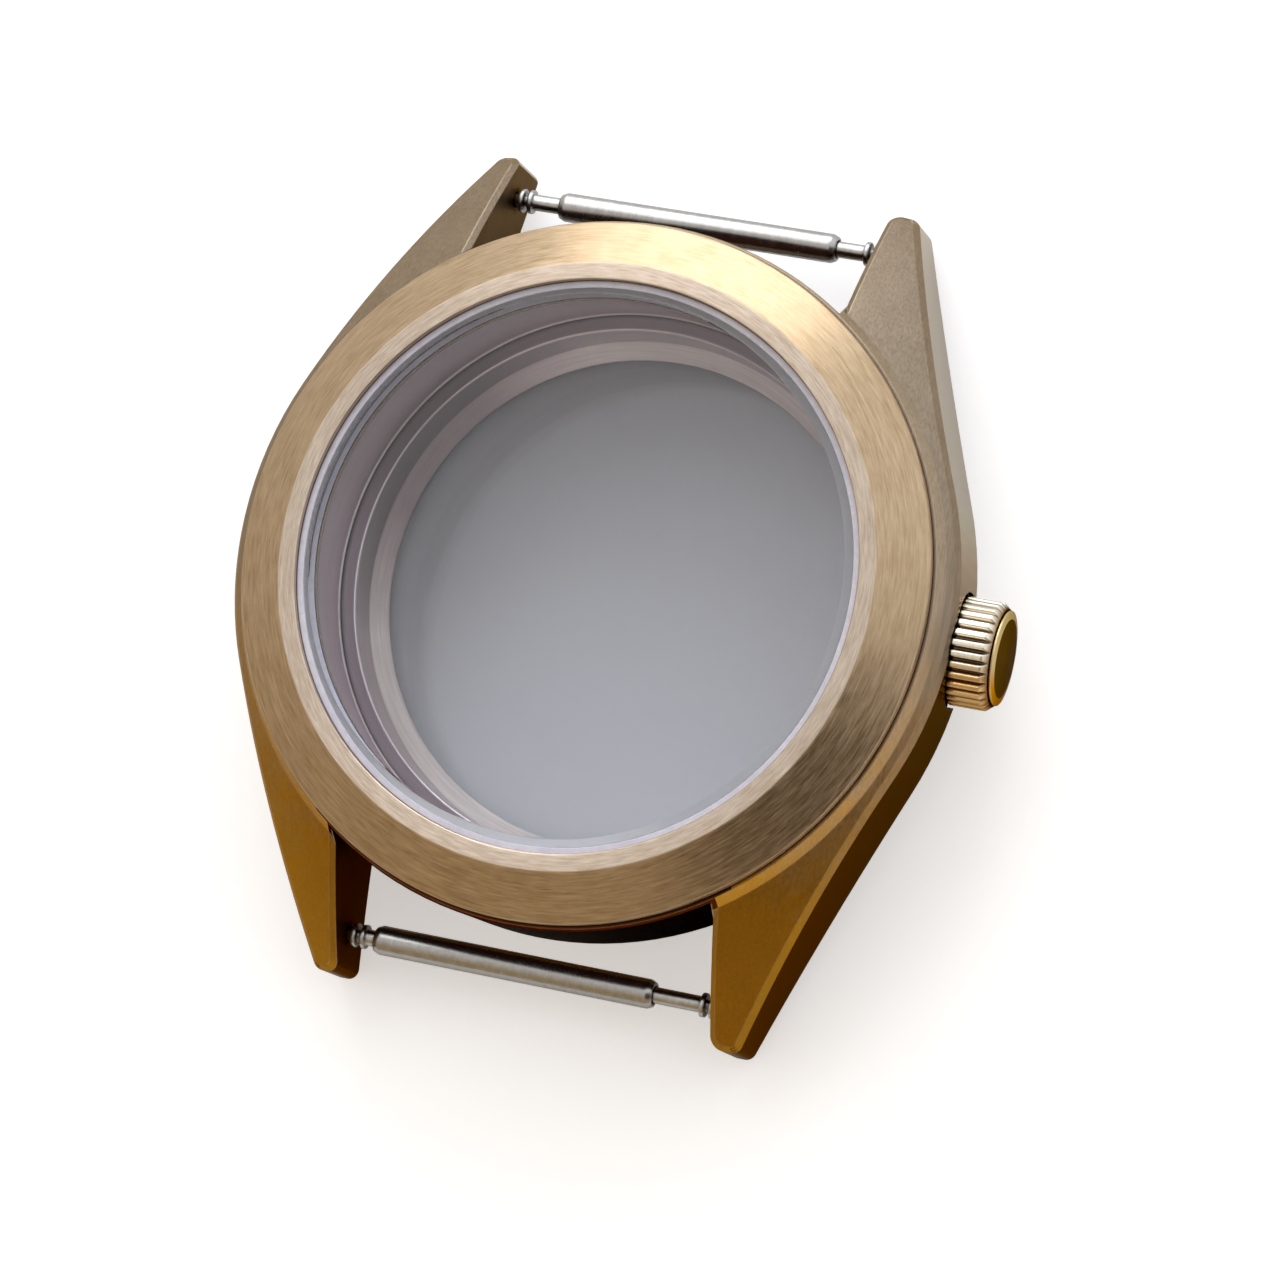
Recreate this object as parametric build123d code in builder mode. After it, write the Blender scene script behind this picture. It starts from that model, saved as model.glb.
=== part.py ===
from build123d import *
from math import acos, atan2, cos, degrees, hypot, sin, sqrt
import os

os.makedirs("parts", exist_ok=True)

# Frame: the origin lies on the case axis at the outer face of the case back,
# +Y points to 12 o'clock, +X to the crown and +Z to the crystal.

# Driving sizes
case_height = 12.0
bore_radius = 14.4
lug_gap = 20.0
lug_reach = 3.7
cut_overrun = 2.0

# Crystal, its gasket and its ledge
ledge_width = 0.63
ledge_thickness = 0.5
ledge_lap = 0.33
crystal_thickness = 1.8
crystal_edge_bevel = 0.35
crystal_gasket_thickness = 0.357
crystal_gasket_drop = 0.35
ledge_radius = bore_radius - ledge_width
crystal_radius = ledge_radius + ledge_lap
crystal_bore_radius = crystal_radius + crystal_gasket_thickness
crystal_seat_z = case_height - crystal_thickness
ledge_z = crystal_seat_z - ledge_thickness
crystal_gasket_top_z = case_height - crystal_gasket_drop

# Bezel: flat, cone, side wall and the collar that is pressed into the mid case
bezel_flat_width = 0.892
bezel_cone_width = 2.396
bezel_cone_fall = 1.34
bezel_side_height = 0.51
collar_thickness = 1.2
collar_depth = 0.95
bezel_flat_radius = crystal_bore_radius + bezel_flat_width
bezel_outer_radius = bezel_flat_radius + bezel_cone_width
bezel_edge_z = case_height - bezel_cone_fall
bezel_seat_z = bezel_edge_z - bezel_side_height
collar_radius = bore_radius + collar_thickness
counterbore_z = bezel_seat_z - collar_depth

# Mid case, turned front: rim, rim bevel and shoulder
rim_margin = 0.155
rim_gap = 0.1
rim_bevel_width = 0.35
rim_bevel_height = 0.72
shoulder_fall = 5.47
shoulder_rise = 0.125
shoulder_overreach = 0.2
flank_width = 0.58
rim_radius = bezel_outer_radius + rim_margin
rim_top_z = bezel_seat_z - rim_gap
shoulder_start_radius = rim_radius + rim_bevel_width
shoulder_start_z = rim_top_z - rim_bevel_height
shoulder_end_z = shoulder_start_z - shoulder_fall
flank_radius = shoulder_start_radius + flank_width

# Lugs and the underside, which is one long arc
lug_tip_width = 1.35
tip_corner_radius = 0.6
lug_edge_bevel = 0.3
band_thickness = 5.25
belly_arc_radius = 62.0
half_gap = lug_gap / 2
tip_y = rim_radius + lug_reach
lug_to_lug = 2 * tip_y
lug_tip_outer_x = half_gap + lug_tip_width
tip_distance = hypot(lug_tip_outer_x, tip_y)
tangent_angle = atan2(tip_y, lug_tip_outer_x) - acos(flank_radius / tip_distance)
tangent_x = flank_radius * cos(tangent_angle)
tangent_y = flank_radius * sin(tangent_angle)
shoulder_end_radius = tip_distance + shoulder_overreach
belly_z = rim_top_z - band_thickness
belly_reach = tip_y + cut_overrun
belly_reach_z = belly_z - (belly_arc_radius - sqrt(belly_arc_radius**2 - belly_reach**2))

# Case back: flange, threaded neck, sight bevel and glass
back_flange_thickness = 1.5
back_flange_lap = 0.5
back_edge_bevel = 0.45
thread_step = 1.0
thread_depth = 3.0
thread_clearance = 0.1
neck_end_gap = 0.15
neck_thickness = 1.75
neck_edge_bevel = 0.1
sight_bevel_width = 0.82
sight_bevel_height = 0.85
sight_lip = 0.2
back_glass_thickness = 1.1
back_glass_lap = 0.47
back_glass_bevel = 0.15
back_glass_gasket_thickness = 0.3
back_glass_gasket_recess = 0.15
notch_count = 6
notch_width = 2.4
notch_inset = 1.2
notch_depth = 0.7
back_gasket_width = 0.6
back_gasket_thickness = 0.5
back_gasket_side_gap = 0.1
back_gasket_top_gap = 0.05
drum_margin = 0.35
drum_edge_bevel = 0.3
thread_recess_radius = bore_radius + thread_step
thread_top_z = back_flange_thickness + thread_depth
neck_radius = thread_recess_radius - thread_clearance
neck_top_z = thread_top_z - neck_end_gap
neck_bore_radius = neck_radius - neck_thickness
sight_radius = neck_bore_radius - sight_bevel_width
sight_z = back_glass_thickness + sight_lip
back_glass_radius = sight_radius + back_glass_lap
glass_seat_radius = back_glass_radius + back_glass_gasket_thickness
back_gasket_radius = thread_recess_radius + back_gasket_width
gasket_recess_radius = back_gasket_radius + back_gasket_side_gap
gasket_recess_z = back_flange_thickness + back_gasket_thickness + back_gasket_top_gap
back_flange_radius = gasket_recess_radius + back_flange_lap
drum_radius = back_flange_radius + drum_margin

# Wall between the lugs
gap_wall_margin = 0.1
gap_wall_taper = 0.15
gap_wall_foot_drop = 0.6
gap_wall_end_drop = 2.4
gap_wall_radius = rim_radius + gap_wall_margin
gap_wall_foot_radius = gap_wall_radius - gap_wall_taper
gap_wall_foot_z = belly_z - gap_wall_foot_drop
gap_wall_end_z = belly_z - gap_wall_end_drop

# Screw-down crown: radii from the stem outwards
crown_axis_rise = 1.0
running_gap = 0.04
pipe_gap = 0.06
stem_socket_radius = 0.45
post_shank_wall = 0.17
post_head_step = 0.18
pipe_wall = 0.28
tube_wall = 0.37
tube_head_step = 0.2
crown_thread_clearance = 0.1
crown_wall = 0.88
ring_groove_depth = 0.22
ring_width = 0.55
ring_gap = 0.03
crown_gasket_width = 0.6
crown_spring_thickness = 0.22
crown_recess_gap = 0.21
crown_axis_z = belly_z + crown_axis_rise
post_shank_radius = stem_socket_radius + post_shank_wall
post_head_radius = post_shank_radius + post_head_step
bush_bore_radius = post_shank_radius + running_gap
pipe_bore_radius = post_head_radius + running_gap
pipe_radius = pipe_bore_radius + pipe_wall
passage_radius = pipe_radius + pipe_gap
tube_body_radius = passage_radius + tube_wall
tube_head_radius = tube_body_radius + tube_head_step
ring_groove_radius = passage_radius + ring_groove_depth
crown_cavity_radius = tube_head_radius + crown_thread_clearance
crown_radius = crown_cavity_radius + crown_wall
crown_recess_radius = crown_radius + crown_recess_gap
crown_gasket_inner_radius = crown_cavity_radius - crown_gasket_width
crown_spring_outer_radius = post_head_radius - 2 * running_gap
crown_spring_inner_radius = crown_spring_outer_radius - crown_spring_thickness

# Screw-down crown: places along its axis, from the case axis outwards
crown_recess_depth = 0.53
tube_seat_margin = 1.1
tube_head_length = 1.75
tube_edge_bevel = 0.12
ring_groove_setback = 0.07
crown_gap = 0.16
crown_length = 2.54
crown_gasket_thickness = 0.25
pipe_length = 4.1
pipe_bore_overreach = 0.3
bush_length = 0.5
crown_travel = 1.05
travel_stop_gap = 0.15
post_end_margin = 0.1
post_head_length = 0.8
post_edge_bevel = 0.1
stem_socket_depth = 2.0
spring_end_gap = 0.02
tube_inner_x = bore_radius + tube_seat_margin
crown_recess_x = flank_radius - crown_recess_depth
tube_outer_x = crown_recess_x + tube_head_length
ring_groove_x = crown_recess_x + ring_groove_setback
crown_inner_x = crown_recess_x + crown_gap
crown_outer_x = crown_inner_x + crown_length
crown_cavity_end_x = tube_outer_x + crown_gasket_thickness
pipe_inner_x = crown_cavity_end_x - pipe_length
pipe_bore_end_x = crown_cavity_end_x + pipe_bore_overreach
post_inner_x = tube_inner_x + post_end_margin
post_head_x = pipe_inner_x + bush_length + crown_travel + travel_stop_gap
post_head_end_x = post_head_x + post_head_length

# Crown, outside: flutes, bevel, groove, smooth rim and a faintly domed face
flute_count = 30
flute_length = 1.89
flute_bevel_width = 0.35
flute_depth = 0.28
flute_overreach = 0.07
flute_half_width = 0.15
crown_groove_width = 0.07
crown_groove_depth = 0.12
crown_rim_step = 0.06
crown_face_margin = 0.42
crown_end_bevel = 0.14
crown_base_bevel = 0.12
crown_dome_rise = 0.06
crown_root_radius = crown_radius - flute_depth
crown_rim_radius = crown_root_radius - crown_rim_step
crown_face_radius = crown_rim_radius - crown_face_margin
flute_bevel_x = crown_inner_x + flute_length
flute_end_x = flute_bevel_x + flute_bevel_width

# Spring bars
bar_setback = 2.1
bar_axis_drop = 0.06
barrel_radius = 0.75
barrel_wall = 0.18
barrel_end_gap = 2.5
barrel_crimp_step = 0.13
barrel_crimp_length = 0.3
barrel_mouth_length = 0.3
upper_barrel_shift = 0.0
lower_barrel_shift = -1.0
pin_length = 5.5
pin_reach = 1.0
pin_head_length = 0.6
pin_shoulder_radius = 0.42
pin_flange_radius = 0.62
pin_flange_width = 0.26
pin_flange_spacing = 0.5
pin_flange_gap = 0.25
pin_neck_radius = 0.3
pin_tip_radius = 0.38
pin_tip_bevel = 0.12
lug_hole_gap = 0.07
lug_hole_end_gap = 0.25
bar_spring_thickness = 0.16
bar_axis_y = tip_y - bar_setback
bar_axis_z = shoulder_end_z - bar_axis_drop
barrel_length = lug_gap - 2 * barrel_end_gap
barrel_bore_radius = barrel_radius - barrel_wall
barrel_crimp_radius = barrel_radius - barrel_crimp_step
barrel_mouth_radius = pin_shoulder_radius + running_gap
pin_head_radius = barrel_bore_radius - running_gap
pin_end_x = half_gap + pin_reach
pin_head_x = pin_end_x - pin_length
lug_hole_radius = pin_tip_radius + lug_hole_gap
lug_hole_depth = pin_reach + lug_hole_end_gap
bar_spring_outer_radius = pin_head_radius - running_gap
bar_spring_inner_radius = bar_spring_outer_radius - bar_spring_thickness

crown_plane = Plane(origin=(0, 0, crown_axis_z), x_dir=(1, 0, 0), z_dir=(0, -1, 0))
crown_axis = Axis((0, 0, crown_axis_z), (1, 0, 0))


def finish(piece, label):
    """Name a finished piece and write its file."""
    piece.part.label = label
    export_step(piece.part, f"parts/{label}.step")
    print(label, round(piece.part.volume, 3))


def turned(points, plane=Plane.XZ, axis=Axis.Z, mode=Mode.ADD):
    """Turn a closed outline of (radius, height) points about an axis."""
    with BuildSketch(plane) as outline:
        with BuildLine():
            Polyline(*points, close=True)
        make_face()
    revolve(outline.sketch, axis=axis, mode=mode)


def along_crown(points, mode=Mode.ADD):
    """Turn an outline of (place along the crown axis, radius) points about that axis."""
    turned(points, crown_plane, crown_axis, mode)


# Everything outside the turned front: rim bevel, then the sloping shoulder that runs
# on into the lugs
with BuildPart() as front_cut:
    with BuildSketch(Plane.XZ):
        with BuildLine():
            Polyline(
                (shoulder_end_radius, shoulder_end_z),
                (shoulder_end_radius + cut_overrun, shoulder_end_z),
                (shoulder_end_radius + cut_overrun, case_height),
                (rim_radius, case_height),
                (rim_radius, rim_top_z),
                (shoulder_start_radius, shoulder_start_z),
            )
            SagittaArc(
                (shoulder_start_radius, shoulder_start_z),
                (shoulder_end_radius, shoulder_end_z),
                shoulder_rise,
            )
        make_face()
    revolve(axis=Axis.Z)

# Side view: the underside is one long arc that hugs the wrist
with BuildPart() as side_view:
    with BuildSketch(Plane.YZ):
        with BuildLine():
            ThreePointArc(
                (-belly_reach, belly_reach_z),
                (0, belly_z),
                (belly_reach, belly_reach_z),
            )
            Polyline(
                (belly_reach, belly_reach_z),
                (belly_reach, case_height),
                (-belly_reach, case_height),
                (-belly_reach, belly_reach_z),
            )
        make_face()
    extrude(amount=flank_radius + cut_overrun, both=True)

# Drum below the band, which the case back screws into
with BuildPart() as drum:
    with BuildSketch(Plane.XY.offset(back_flange_thickness)):
        Circle(drum_radius)
    extrude(amount=belly_z - back_flange_thickness + cut_overrun)
    chamfer(drum.edges().filter_by(GeomType.CIRCLE).sort_by(Axis.Z)[0], length=drum_edge_bevel)

# Space between the lugs, ended by a turned wall
with BuildPart() as lug_gap_cut:
    with BuildSketch():
        Rectangle(lug_gap, lug_to_lug + cut_overrun)
    extrude(amount=case_height)
    turned(
        [
            (0, 0),
            (drum_radius, 0),
            (drum_radius, gap_wall_end_z),
            (gap_wall_foot_radius, gap_wall_foot_z),
            (gap_wall_radius, rim_top_z),
            (gap_wall_radius, case_height),
            (0, case_height),
        ],
        mode=Mode.SUBTRACT,
    )

# Mid case
with BuildPart() as mid_case:
    with BuildSketch():
        with BuildLine():
            CenterArc((0, 0), flank_radius, -degrees(tangent_angle), 2 * degrees(tangent_angle))
            Polyline(
                (tangent_x, tangent_y),
                (lug_tip_outer_x, tip_y),
                (-lug_tip_outer_x, tip_y),
                (-tangent_x, tangent_y),
            )
            CenterArc((0, 0), flank_radius, 180 - degrees(tangent_angle), 2 * degrees(tangent_angle))
            Polyline(
                (-tangent_x, -tangent_y),
                (-lug_tip_outer_x, -tip_y),
                (lug_tip_outer_x, -tip_y),
                (tangent_x, -tangent_y),
            )
        make_face()
    extrude(amount=rim_top_z)
    add(side_view.part, mode=Mode.INTERSECT)
    add(drum.part)
    add(front_cut.part, mode=Mode.SUBTRACT)
    add(lug_gap_cut.part, mode=Mode.SUBTRACT)
    # Through bore, collar counterbore, thread recess and gasket recess
    turned(
        [
            (0, 0),
            (gasket_recess_radius, 0),
            (gasket_recess_radius, gasket_recess_z),
            (thread_recess_radius, gasket_recess_z),
            (thread_recess_radius, thread_top_z),
            (bore_radius, thread_top_z),
            (bore_radius, counterbore_z),
            (collar_radius, counterbore_z),
            (collar_radius, case_height),
            (0, case_height),
        ],
        mode=Mode.SUBTRACT,
    )
    # Blind spring bar holes in the lugs' inner faces
    with Locations(
        *[
            Plane(origin=(side * half_gap, end * bar_axis_y, bar_axis_z), z_dir=(-side, 0, 0))
            for side in (-1, 1)
            for end in (-1, 1)
        ]
    ):
        Hole(lug_hole_radius, depth=lug_hole_depth)
    tip_edges = mid_case.edges().filter_by(Axis.Z).filter_by_position(
        Axis.Y, -tip_y - cut_overrun, -tip_y + tip_corner_radius
    ) + mid_case.edges().filter_by(Axis.Z).filter_by_position(
        Axis.Y, tip_y - tip_corner_radius, tip_y + cut_overrun
    )
    fillet(tip_edges, radius=tip_corner_radius)
    # Bevel along the lugs' inner front edges
    inner_edges = mid_case.edges().filter_by(GeomType.BSPLINE)
    lug_edges = inner_edges.filter_by_position(
        Axis.X, -half_gap - rim_gap, -half_gap + rim_gap
    ) + inner_edges.filter_by_position(Axis.X, half_gap - rim_gap, half_gap + rim_gap)
    chamfer(lug_edges, length=lug_edge_bevel)
    # Recess round the crown's foot, hole for its tube and the stem passage behind it
    along_crown(
        [
            (0, 0),
            (0, passage_radius),
            (tube_inner_x, passage_radius),
            (tube_inner_x, tube_body_radius),
            (crown_recess_x, tube_body_radius),
            (crown_recess_x, crown_recess_radius),
            (flank_radius + cut_overrun, crown_recess_radius),
            (flank_radius + cut_overrun, 0),
        ],
        mode=Mode.SUBTRACT,
    )
finish(mid_case, "mid_case")

# Bezel, pressed on by its collar
with BuildPart() as bezel:
    turned(
        [
            (bore_radius, counterbore_z),
            (collar_radius, counterbore_z),
            (collar_radius, bezel_seat_z),
            (bezel_outer_radius, bezel_seat_z),
            (bezel_outer_radius, bezel_edge_z),
            (bezel_flat_radius, case_height),
            (crystal_bore_radius, case_height),
            (crystal_bore_radius, crystal_seat_z),
            (ledge_radius, crystal_seat_z),
            (ledge_radius, ledge_z),
            (bore_radius, ledge_z),
        ]
    )
finish(bezel, "bezel")

# Crystal with its bevelled edge
with BuildPart() as crystal:
    with BuildSketch(Plane.XY.offset(crystal_seat_z)):
        Circle(crystal_radius)
    extrude(amount=case_height - crystal_seat_z)
    chamfer(crystal.edges().sort_by(Axis.Z)[-1], length=crystal_edge_bevel)
finish(crystal, "crystal")

with BuildPart() as crystal_gasket:
    with BuildSketch(Plane.XY.offset(crystal_seat_z)):
        Circle(crystal_bore_radius)
        Circle(crystal_radius, mode=Mode.SUBTRACT)
    extrude(amount=crystal_gasket_top_z - crystal_seat_z)
finish(crystal_gasket, "crystal_gasket")

# Case back ring: flange with key notches, threaded neck, glass seat
with BuildPart() as case_back_ring:
    turned(
        [
            (glass_seat_radius, 0),
            (back_flange_radius - back_edge_bevel, 0),
            (back_flange_radius, back_edge_bevel),
            (back_flange_radius, back_flange_thickness),
            (neck_radius, back_flange_thickness),
            (neck_radius, neck_top_z),
            (neck_bore_radius + neck_edge_bevel, neck_top_z),
            (neck_bore_radius, neck_top_z - neck_edge_bevel),
            (neck_bore_radius, sight_z + sight_bevel_height),
            (sight_radius, sight_z),
            (sight_radius, back_glass_thickness),
            (glass_seat_radius, back_glass_thickness),
        ]
    )
    with PolarLocations(back_flange_radius, notch_count):
        Box(2 * notch_inset, notch_width, 2 * notch_depth, mode=Mode.SUBTRACT)
finish(case_back_ring, "case_back_ring")

with BuildPart() as case_back_glass:
    with BuildSketch():
        Circle(back_glass_radius)
    extrude(amount=back_glass_thickness)
    chamfer(case_back_glass.edges().sort_by(Axis.Z)[0], length=back_glass_bevel)
finish(case_back_glass, "case_back_glass")

with BuildPart() as case_back_glass_gasket:
    with BuildSketch(Plane.XY.offset(back_glass_gasket_recess)):
        Circle(glass_seat_radius)
        Circle(back_glass_radius, mode=Mode.SUBTRACT)
    extrude(amount=back_glass_thickness - back_glass_gasket_recess)
finish(case_back_glass_gasket, "case_back_glass_gasket")

with BuildPart() as case_back_gasket:
    with BuildSketch(Plane.XY.offset(back_flange_thickness)):
        Circle(back_gasket_radius)
        Circle(thread_recess_radius, mode=Mode.SUBTRACT)
    extrude(amount=back_gasket_thickness)
finish(case_back_gasket, "case_back_gasket")

# Crown tube, pressed into the recess's floor, with a groove for its ring
with BuildPart() as crown_tube:
    along_crown(
        [
            (tube_inner_x, passage_radius),
            (tube_inner_x, tube_body_radius),
            (crown_recess_x, tube_body_radius),
            (crown_recess_x, tube_head_radius),
            (tube_outer_x - tube_edge_bevel, tube_head_radius),
            (tube_outer_x, tube_head_radius - tube_edge_bevel),
            (tube_outer_x, passage_radius),
            (ring_groove_x + ring_width, passage_radius),
            (ring_groove_x + ring_width, ring_groove_radius),
            (ring_groove_x, ring_groove_radius),
            (ring_groove_x, passage_radius),
        ]
    )
finish(crown_tube, "crown_tube")

with BuildPart() as crown_tube_ring:
    along_crown(
        [
            (ring_groove_x, pipe_radius + ring_gap),
            (ring_groove_x, ring_groove_radius),
            (ring_groove_x + ring_width, ring_groove_radius),
            (ring_groove_x + ring_width, pipe_radius + ring_gap),
        ]
    )
finish(crown_tube_ring, "crown_tube_ring")

# Crown: fluted cap with a smooth rim, threaded cavity and a pipe that fills the tube
with BuildPart() as crown:
    with BuildSketch(crown_plane):
        with BuildLine():
            Polyline(
                (crown_outer_x - crown_end_bevel, crown_rim_radius),
                (flute_end_x + crown_groove_width, crown_rim_radius),
                (flute_end_x + crown_groove_width, crown_rim_radius - crown_groove_depth),
                (flute_end_x, crown_rim_radius - crown_groove_depth),
                (flute_end_x, crown_root_radius),
                (flute_bevel_x, crown_radius),
                (crown_inner_x + crown_base_bevel, crown_radius),
                (crown_inner_x, crown_radius - crown_base_bevel),
                (crown_inner_x, crown_cavity_radius),
                (crown_cavity_end_x, crown_cavity_radius),
                (crown_cavity_end_x, pipe_radius),
                (pipe_inner_x, pipe_radius),
                (pipe_inner_x, pipe_bore_radius),
                (pipe_bore_end_x, pipe_bore_radius),
                (pipe_bore_end_x, 0),
                (crown_outer_x, 0),
            )
            Line((crown_outer_x, 0), (crown_outer_x - crown_dome_rise, crown_face_radius))
            Line(
                (crown_outer_x - crown_dome_rise, crown_face_radius),
                (crown_outer_x - crown_end_bevel, crown_rim_radius),
            )
        make_face()
    revolve(axis=crown_axis)
    # V-shaped flutes: they run out on the bevel, which points their ends
    with BuildSketch(Plane(origin=(crown_inner_x, 0, crown_axis_z), z_dir=(1, 0, 0))):
        with PolarLocations(crown_root_radius, flute_count):
            Polygon(
                (0, 0),
                (flute_depth + flute_overreach, flute_half_width),
                (flute_depth + flute_overreach, -flute_half_width),
                align=None,
            )
    extrude(amount=flute_end_x - crown_inner_x, mode=Mode.SUBTRACT)
finish(crown, "crown")

with BuildPart() as crown_gasket:
    along_crown(
        [
            (tube_outer_x, crown_gasket_inner_radius),
            (tube_outer_x, crown_cavity_radius),
            (crown_cavity_end_x, crown_cavity_radius),
            (crown_cavity_end_x, crown_gasket_inner_radius),
        ]
    )
finish(crown_gasket, "crown_gasket")

# Bush that holds the post in the crown's pipe
with BuildPart() as crown_bush:
    along_crown(
        [
            (pipe_inner_x, bush_bore_radius),
            (pipe_inner_x, pipe_bore_radius),
            (pipe_inner_x + bush_length, pipe_bore_radius),
            (pipe_inner_x + bush_length, bush_bore_radius),
        ]
    )
finish(crown_bush, "crown_bush")

# Post that takes the winding stem; the crown slides along it
with BuildPart() as crown_post:
    along_crown(
        [
            (post_inner_x, stem_socket_radius),
            (post_inner_x, post_shank_radius - post_edge_bevel),
            (post_inner_x + post_edge_bevel, post_shank_radius),
            (post_head_x, post_shank_radius),
            (post_head_x, post_head_radius),
            (post_head_end_x, post_head_radius),
            (post_head_end_x, 0),
            (post_inner_x + stem_socket_depth, 0),
            (post_inner_x + stem_socket_depth, stem_socket_radius),
        ]
    )
finish(crown_post, "crown_post")

# Crown spring, between the post's head and the end of the pipe's bore
with BuildPart() as crown_spring:
    along_crown(
        [
            (post_head_end_x + spring_end_gap, crown_spring_inner_radius),
            (post_head_end_x + spring_end_gap, crown_spring_outer_radius),
            (pipe_bore_end_x - spring_end_gap, crown_spring_outer_radius),
            (pipe_bore_end_x - spring_end_gap, crown_spring_inner_radius),
        ]
    )
finish(crown_spring, "crown_spring")


# Spring bars: a barrel with crimped ends, two flanged pins and a spring between them.
# Outlines run from the bar's middle outwards, as (place along the bar, radius).
def bar_plane(end):
    """Plane through one bar's axis: its x runs along the bar and its y points up."""
    return Plane(origin=(0, end * bar_axis_y, bar_axis_z), x_dir=(1, 0, 0), z_dir=(0, -1, 0))


def along_bar(points, end):
    """Turn an outline of (place along the bar, radius) points about the bar's axis."""
    turned(points, bar_plane(end), Axis((0, end * bar_axis_y, bar_axis_z), (1, 0, 0)))


def barrel_outline(shift):
    """The crimped tube, as a closed outline."""
    half = barrel_length / 2
    right = [
        (half - barrel_crimp_length, barrel_radius),
        (half, barrel_crimp_radius),
        (half, barrel_mouth_radius),
        (half - barrel_mouth_length, barrel_mouth_radius),
        (half - barrel_mouth_length, barrel_bore_radius),
    ]
    left = [(-x, radius) for x, radius in reversed(right)]
    return [(x + shift, radius) for x, radius in right + left]


def pin_outline(side):
    """A pin from its head, held in the barrel, past two flanges to the tip in the lug."""
    head_end_x = pin_head_x + pin_head_length
    flange_x = half_gap - pin_flange_gap
    inner_flange_x = flange_x - pin_flange_spacing
    outline = [
        (pin_head_x, 0),
        (pin_head_x, pin_head_radius),
        (head_end_x, pin_head_radius),
        (head_end_x, pin_shoulder_radius),
        (inner_flange_x - pin_flange_width, pin_shoulder_radius),
        (inner_flange_x - pin_flange_width, pin_flange_radius),
        (inner_flange_x, pin_flange_radius),
        (inner_flange_x, pin_neck_radius),
        (flange_x - pin_flange_width, pin_neck_radius),
        (flange_x - pin_flange_width, pin_flange_radius),
        (flange_x, pin_flange_radius),
        (flange_x, pin_tip_radius),
        (pin_end_x - pin_tip_bevel, pin_tip_radius),
        (pin_end_x, pin_tip_radius - pin_tip_bevel),
        (pin_end_x, 0),
    ]
    return [(side * x, radius) for x, radius in outline]


def bar_spring_outline():
    """The closed coil between the two pins' heads."""
    end_x = pin_head_x - spring_end_gap
    return [
        (-end_x, bar_spring_inner_radius),
        (-end_x, bar_spring_outer_radius),
        (end_x, bar_spring_outer_radius),
        (end_x, bar_spring_inner_radius),
    ]


for name, end, shift in (
    ("upper", 1, upper_barrel_shift),
    ("lower", -1, lower_barrel_shift),
):
    with BuildPart() as barrel:
        along_bar(barrel_outline(shift), end)
    finish(barrel, f"{name}_bar_barrel")
    for side_name, side in (("left", -1), ("right", 1)):
        with BuildPart() as pin:
            along_bar(pin_outline(side), end)
        finish(pin, f"{name}_bar_{side_name}_pin")
    with BuildPart() as bar_spring:
        along_bar(bar_spring_outline(), end)
    finish(bar_spring, f"{name}_bar_spring")
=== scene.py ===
"""Looks of an empty watch case with a screw-down crown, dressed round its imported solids.

Sizes are in millimetres in the frame of the solids: the case axis is Z with the outer face
of the case back at zero, X points to the crown and Y to 12 o'clock. Meshes are in metres.
"""

import logging
import math
from dataclasses import dataclass
from enum import Enum
from typing import Callable

import bmesh
import bpy
import numpy as np
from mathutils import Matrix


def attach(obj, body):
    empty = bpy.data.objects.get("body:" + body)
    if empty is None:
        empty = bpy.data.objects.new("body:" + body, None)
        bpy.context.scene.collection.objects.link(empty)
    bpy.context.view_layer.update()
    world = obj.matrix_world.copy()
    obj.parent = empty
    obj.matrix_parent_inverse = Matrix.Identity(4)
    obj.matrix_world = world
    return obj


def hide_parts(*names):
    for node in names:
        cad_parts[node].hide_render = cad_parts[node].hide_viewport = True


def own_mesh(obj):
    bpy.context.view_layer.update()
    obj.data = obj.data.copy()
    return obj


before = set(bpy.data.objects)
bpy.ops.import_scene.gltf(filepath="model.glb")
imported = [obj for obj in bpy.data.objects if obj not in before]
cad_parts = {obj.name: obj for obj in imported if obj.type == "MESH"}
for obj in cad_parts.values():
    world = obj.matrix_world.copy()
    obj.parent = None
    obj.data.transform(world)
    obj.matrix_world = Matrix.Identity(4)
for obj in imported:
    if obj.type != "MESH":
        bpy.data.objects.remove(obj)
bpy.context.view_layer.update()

MM = 0.001
FULL_TURN = 2.0 * math.pi
MERGE_TURNED = 2e-7  # metres under which points of a turned piece become one
MERGE_SOLID = 1e-6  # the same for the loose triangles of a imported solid
HAIR = 0.02  # play when a face is told by its place
ON_AXIS = 1e-9  # radius under which a corner lies on the axis
CORNER_STEPS = 3  # chords in a rounded corner
CORNER_SHARE = 0.3  # longest rounding, as a share of the shorter side
HOLD_RATIO = 2.5  # where the flat is held, in rounding sizes
HOLD_SHARE = 0.45  # the same at most, as a share of the shorter side
RING_STEPS = 360  # steps round a large ring that shows
SEAL_STEPS = 256  # steps round a large seal
THREAD_STEPS = 240  # steps round the inner thread
BAR_STEPS = 128  # steps round the tube and the bars' barrels
SMALL_STEPS = 96  # steps round the smallest pieces
SCREEN_WHITE = 255.0
SCREEN_GAMMA = 2.2
STREAK_SPAN = (0.3, 0.7)  # range of a noise that is stretched to the full one
SHADE_SPAN = (0.32, 0.68)
LOG = logging.getLogger("watch_case")
Colour = tuple[float, float, float]
Point = tuple[float, float, float]
Outline = list[tuple[float, float]]
Array = np.ndarray
Object = bpy.types.Object
Material = bpy.types.Material
Tree = bpy.types.NodeTree
Socket = bpy.types.NodeSocket
Outputs = dict[str, bpy.types.NodeSocket]
Displace = Callable[[Array, Array, Array], Array]


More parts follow.
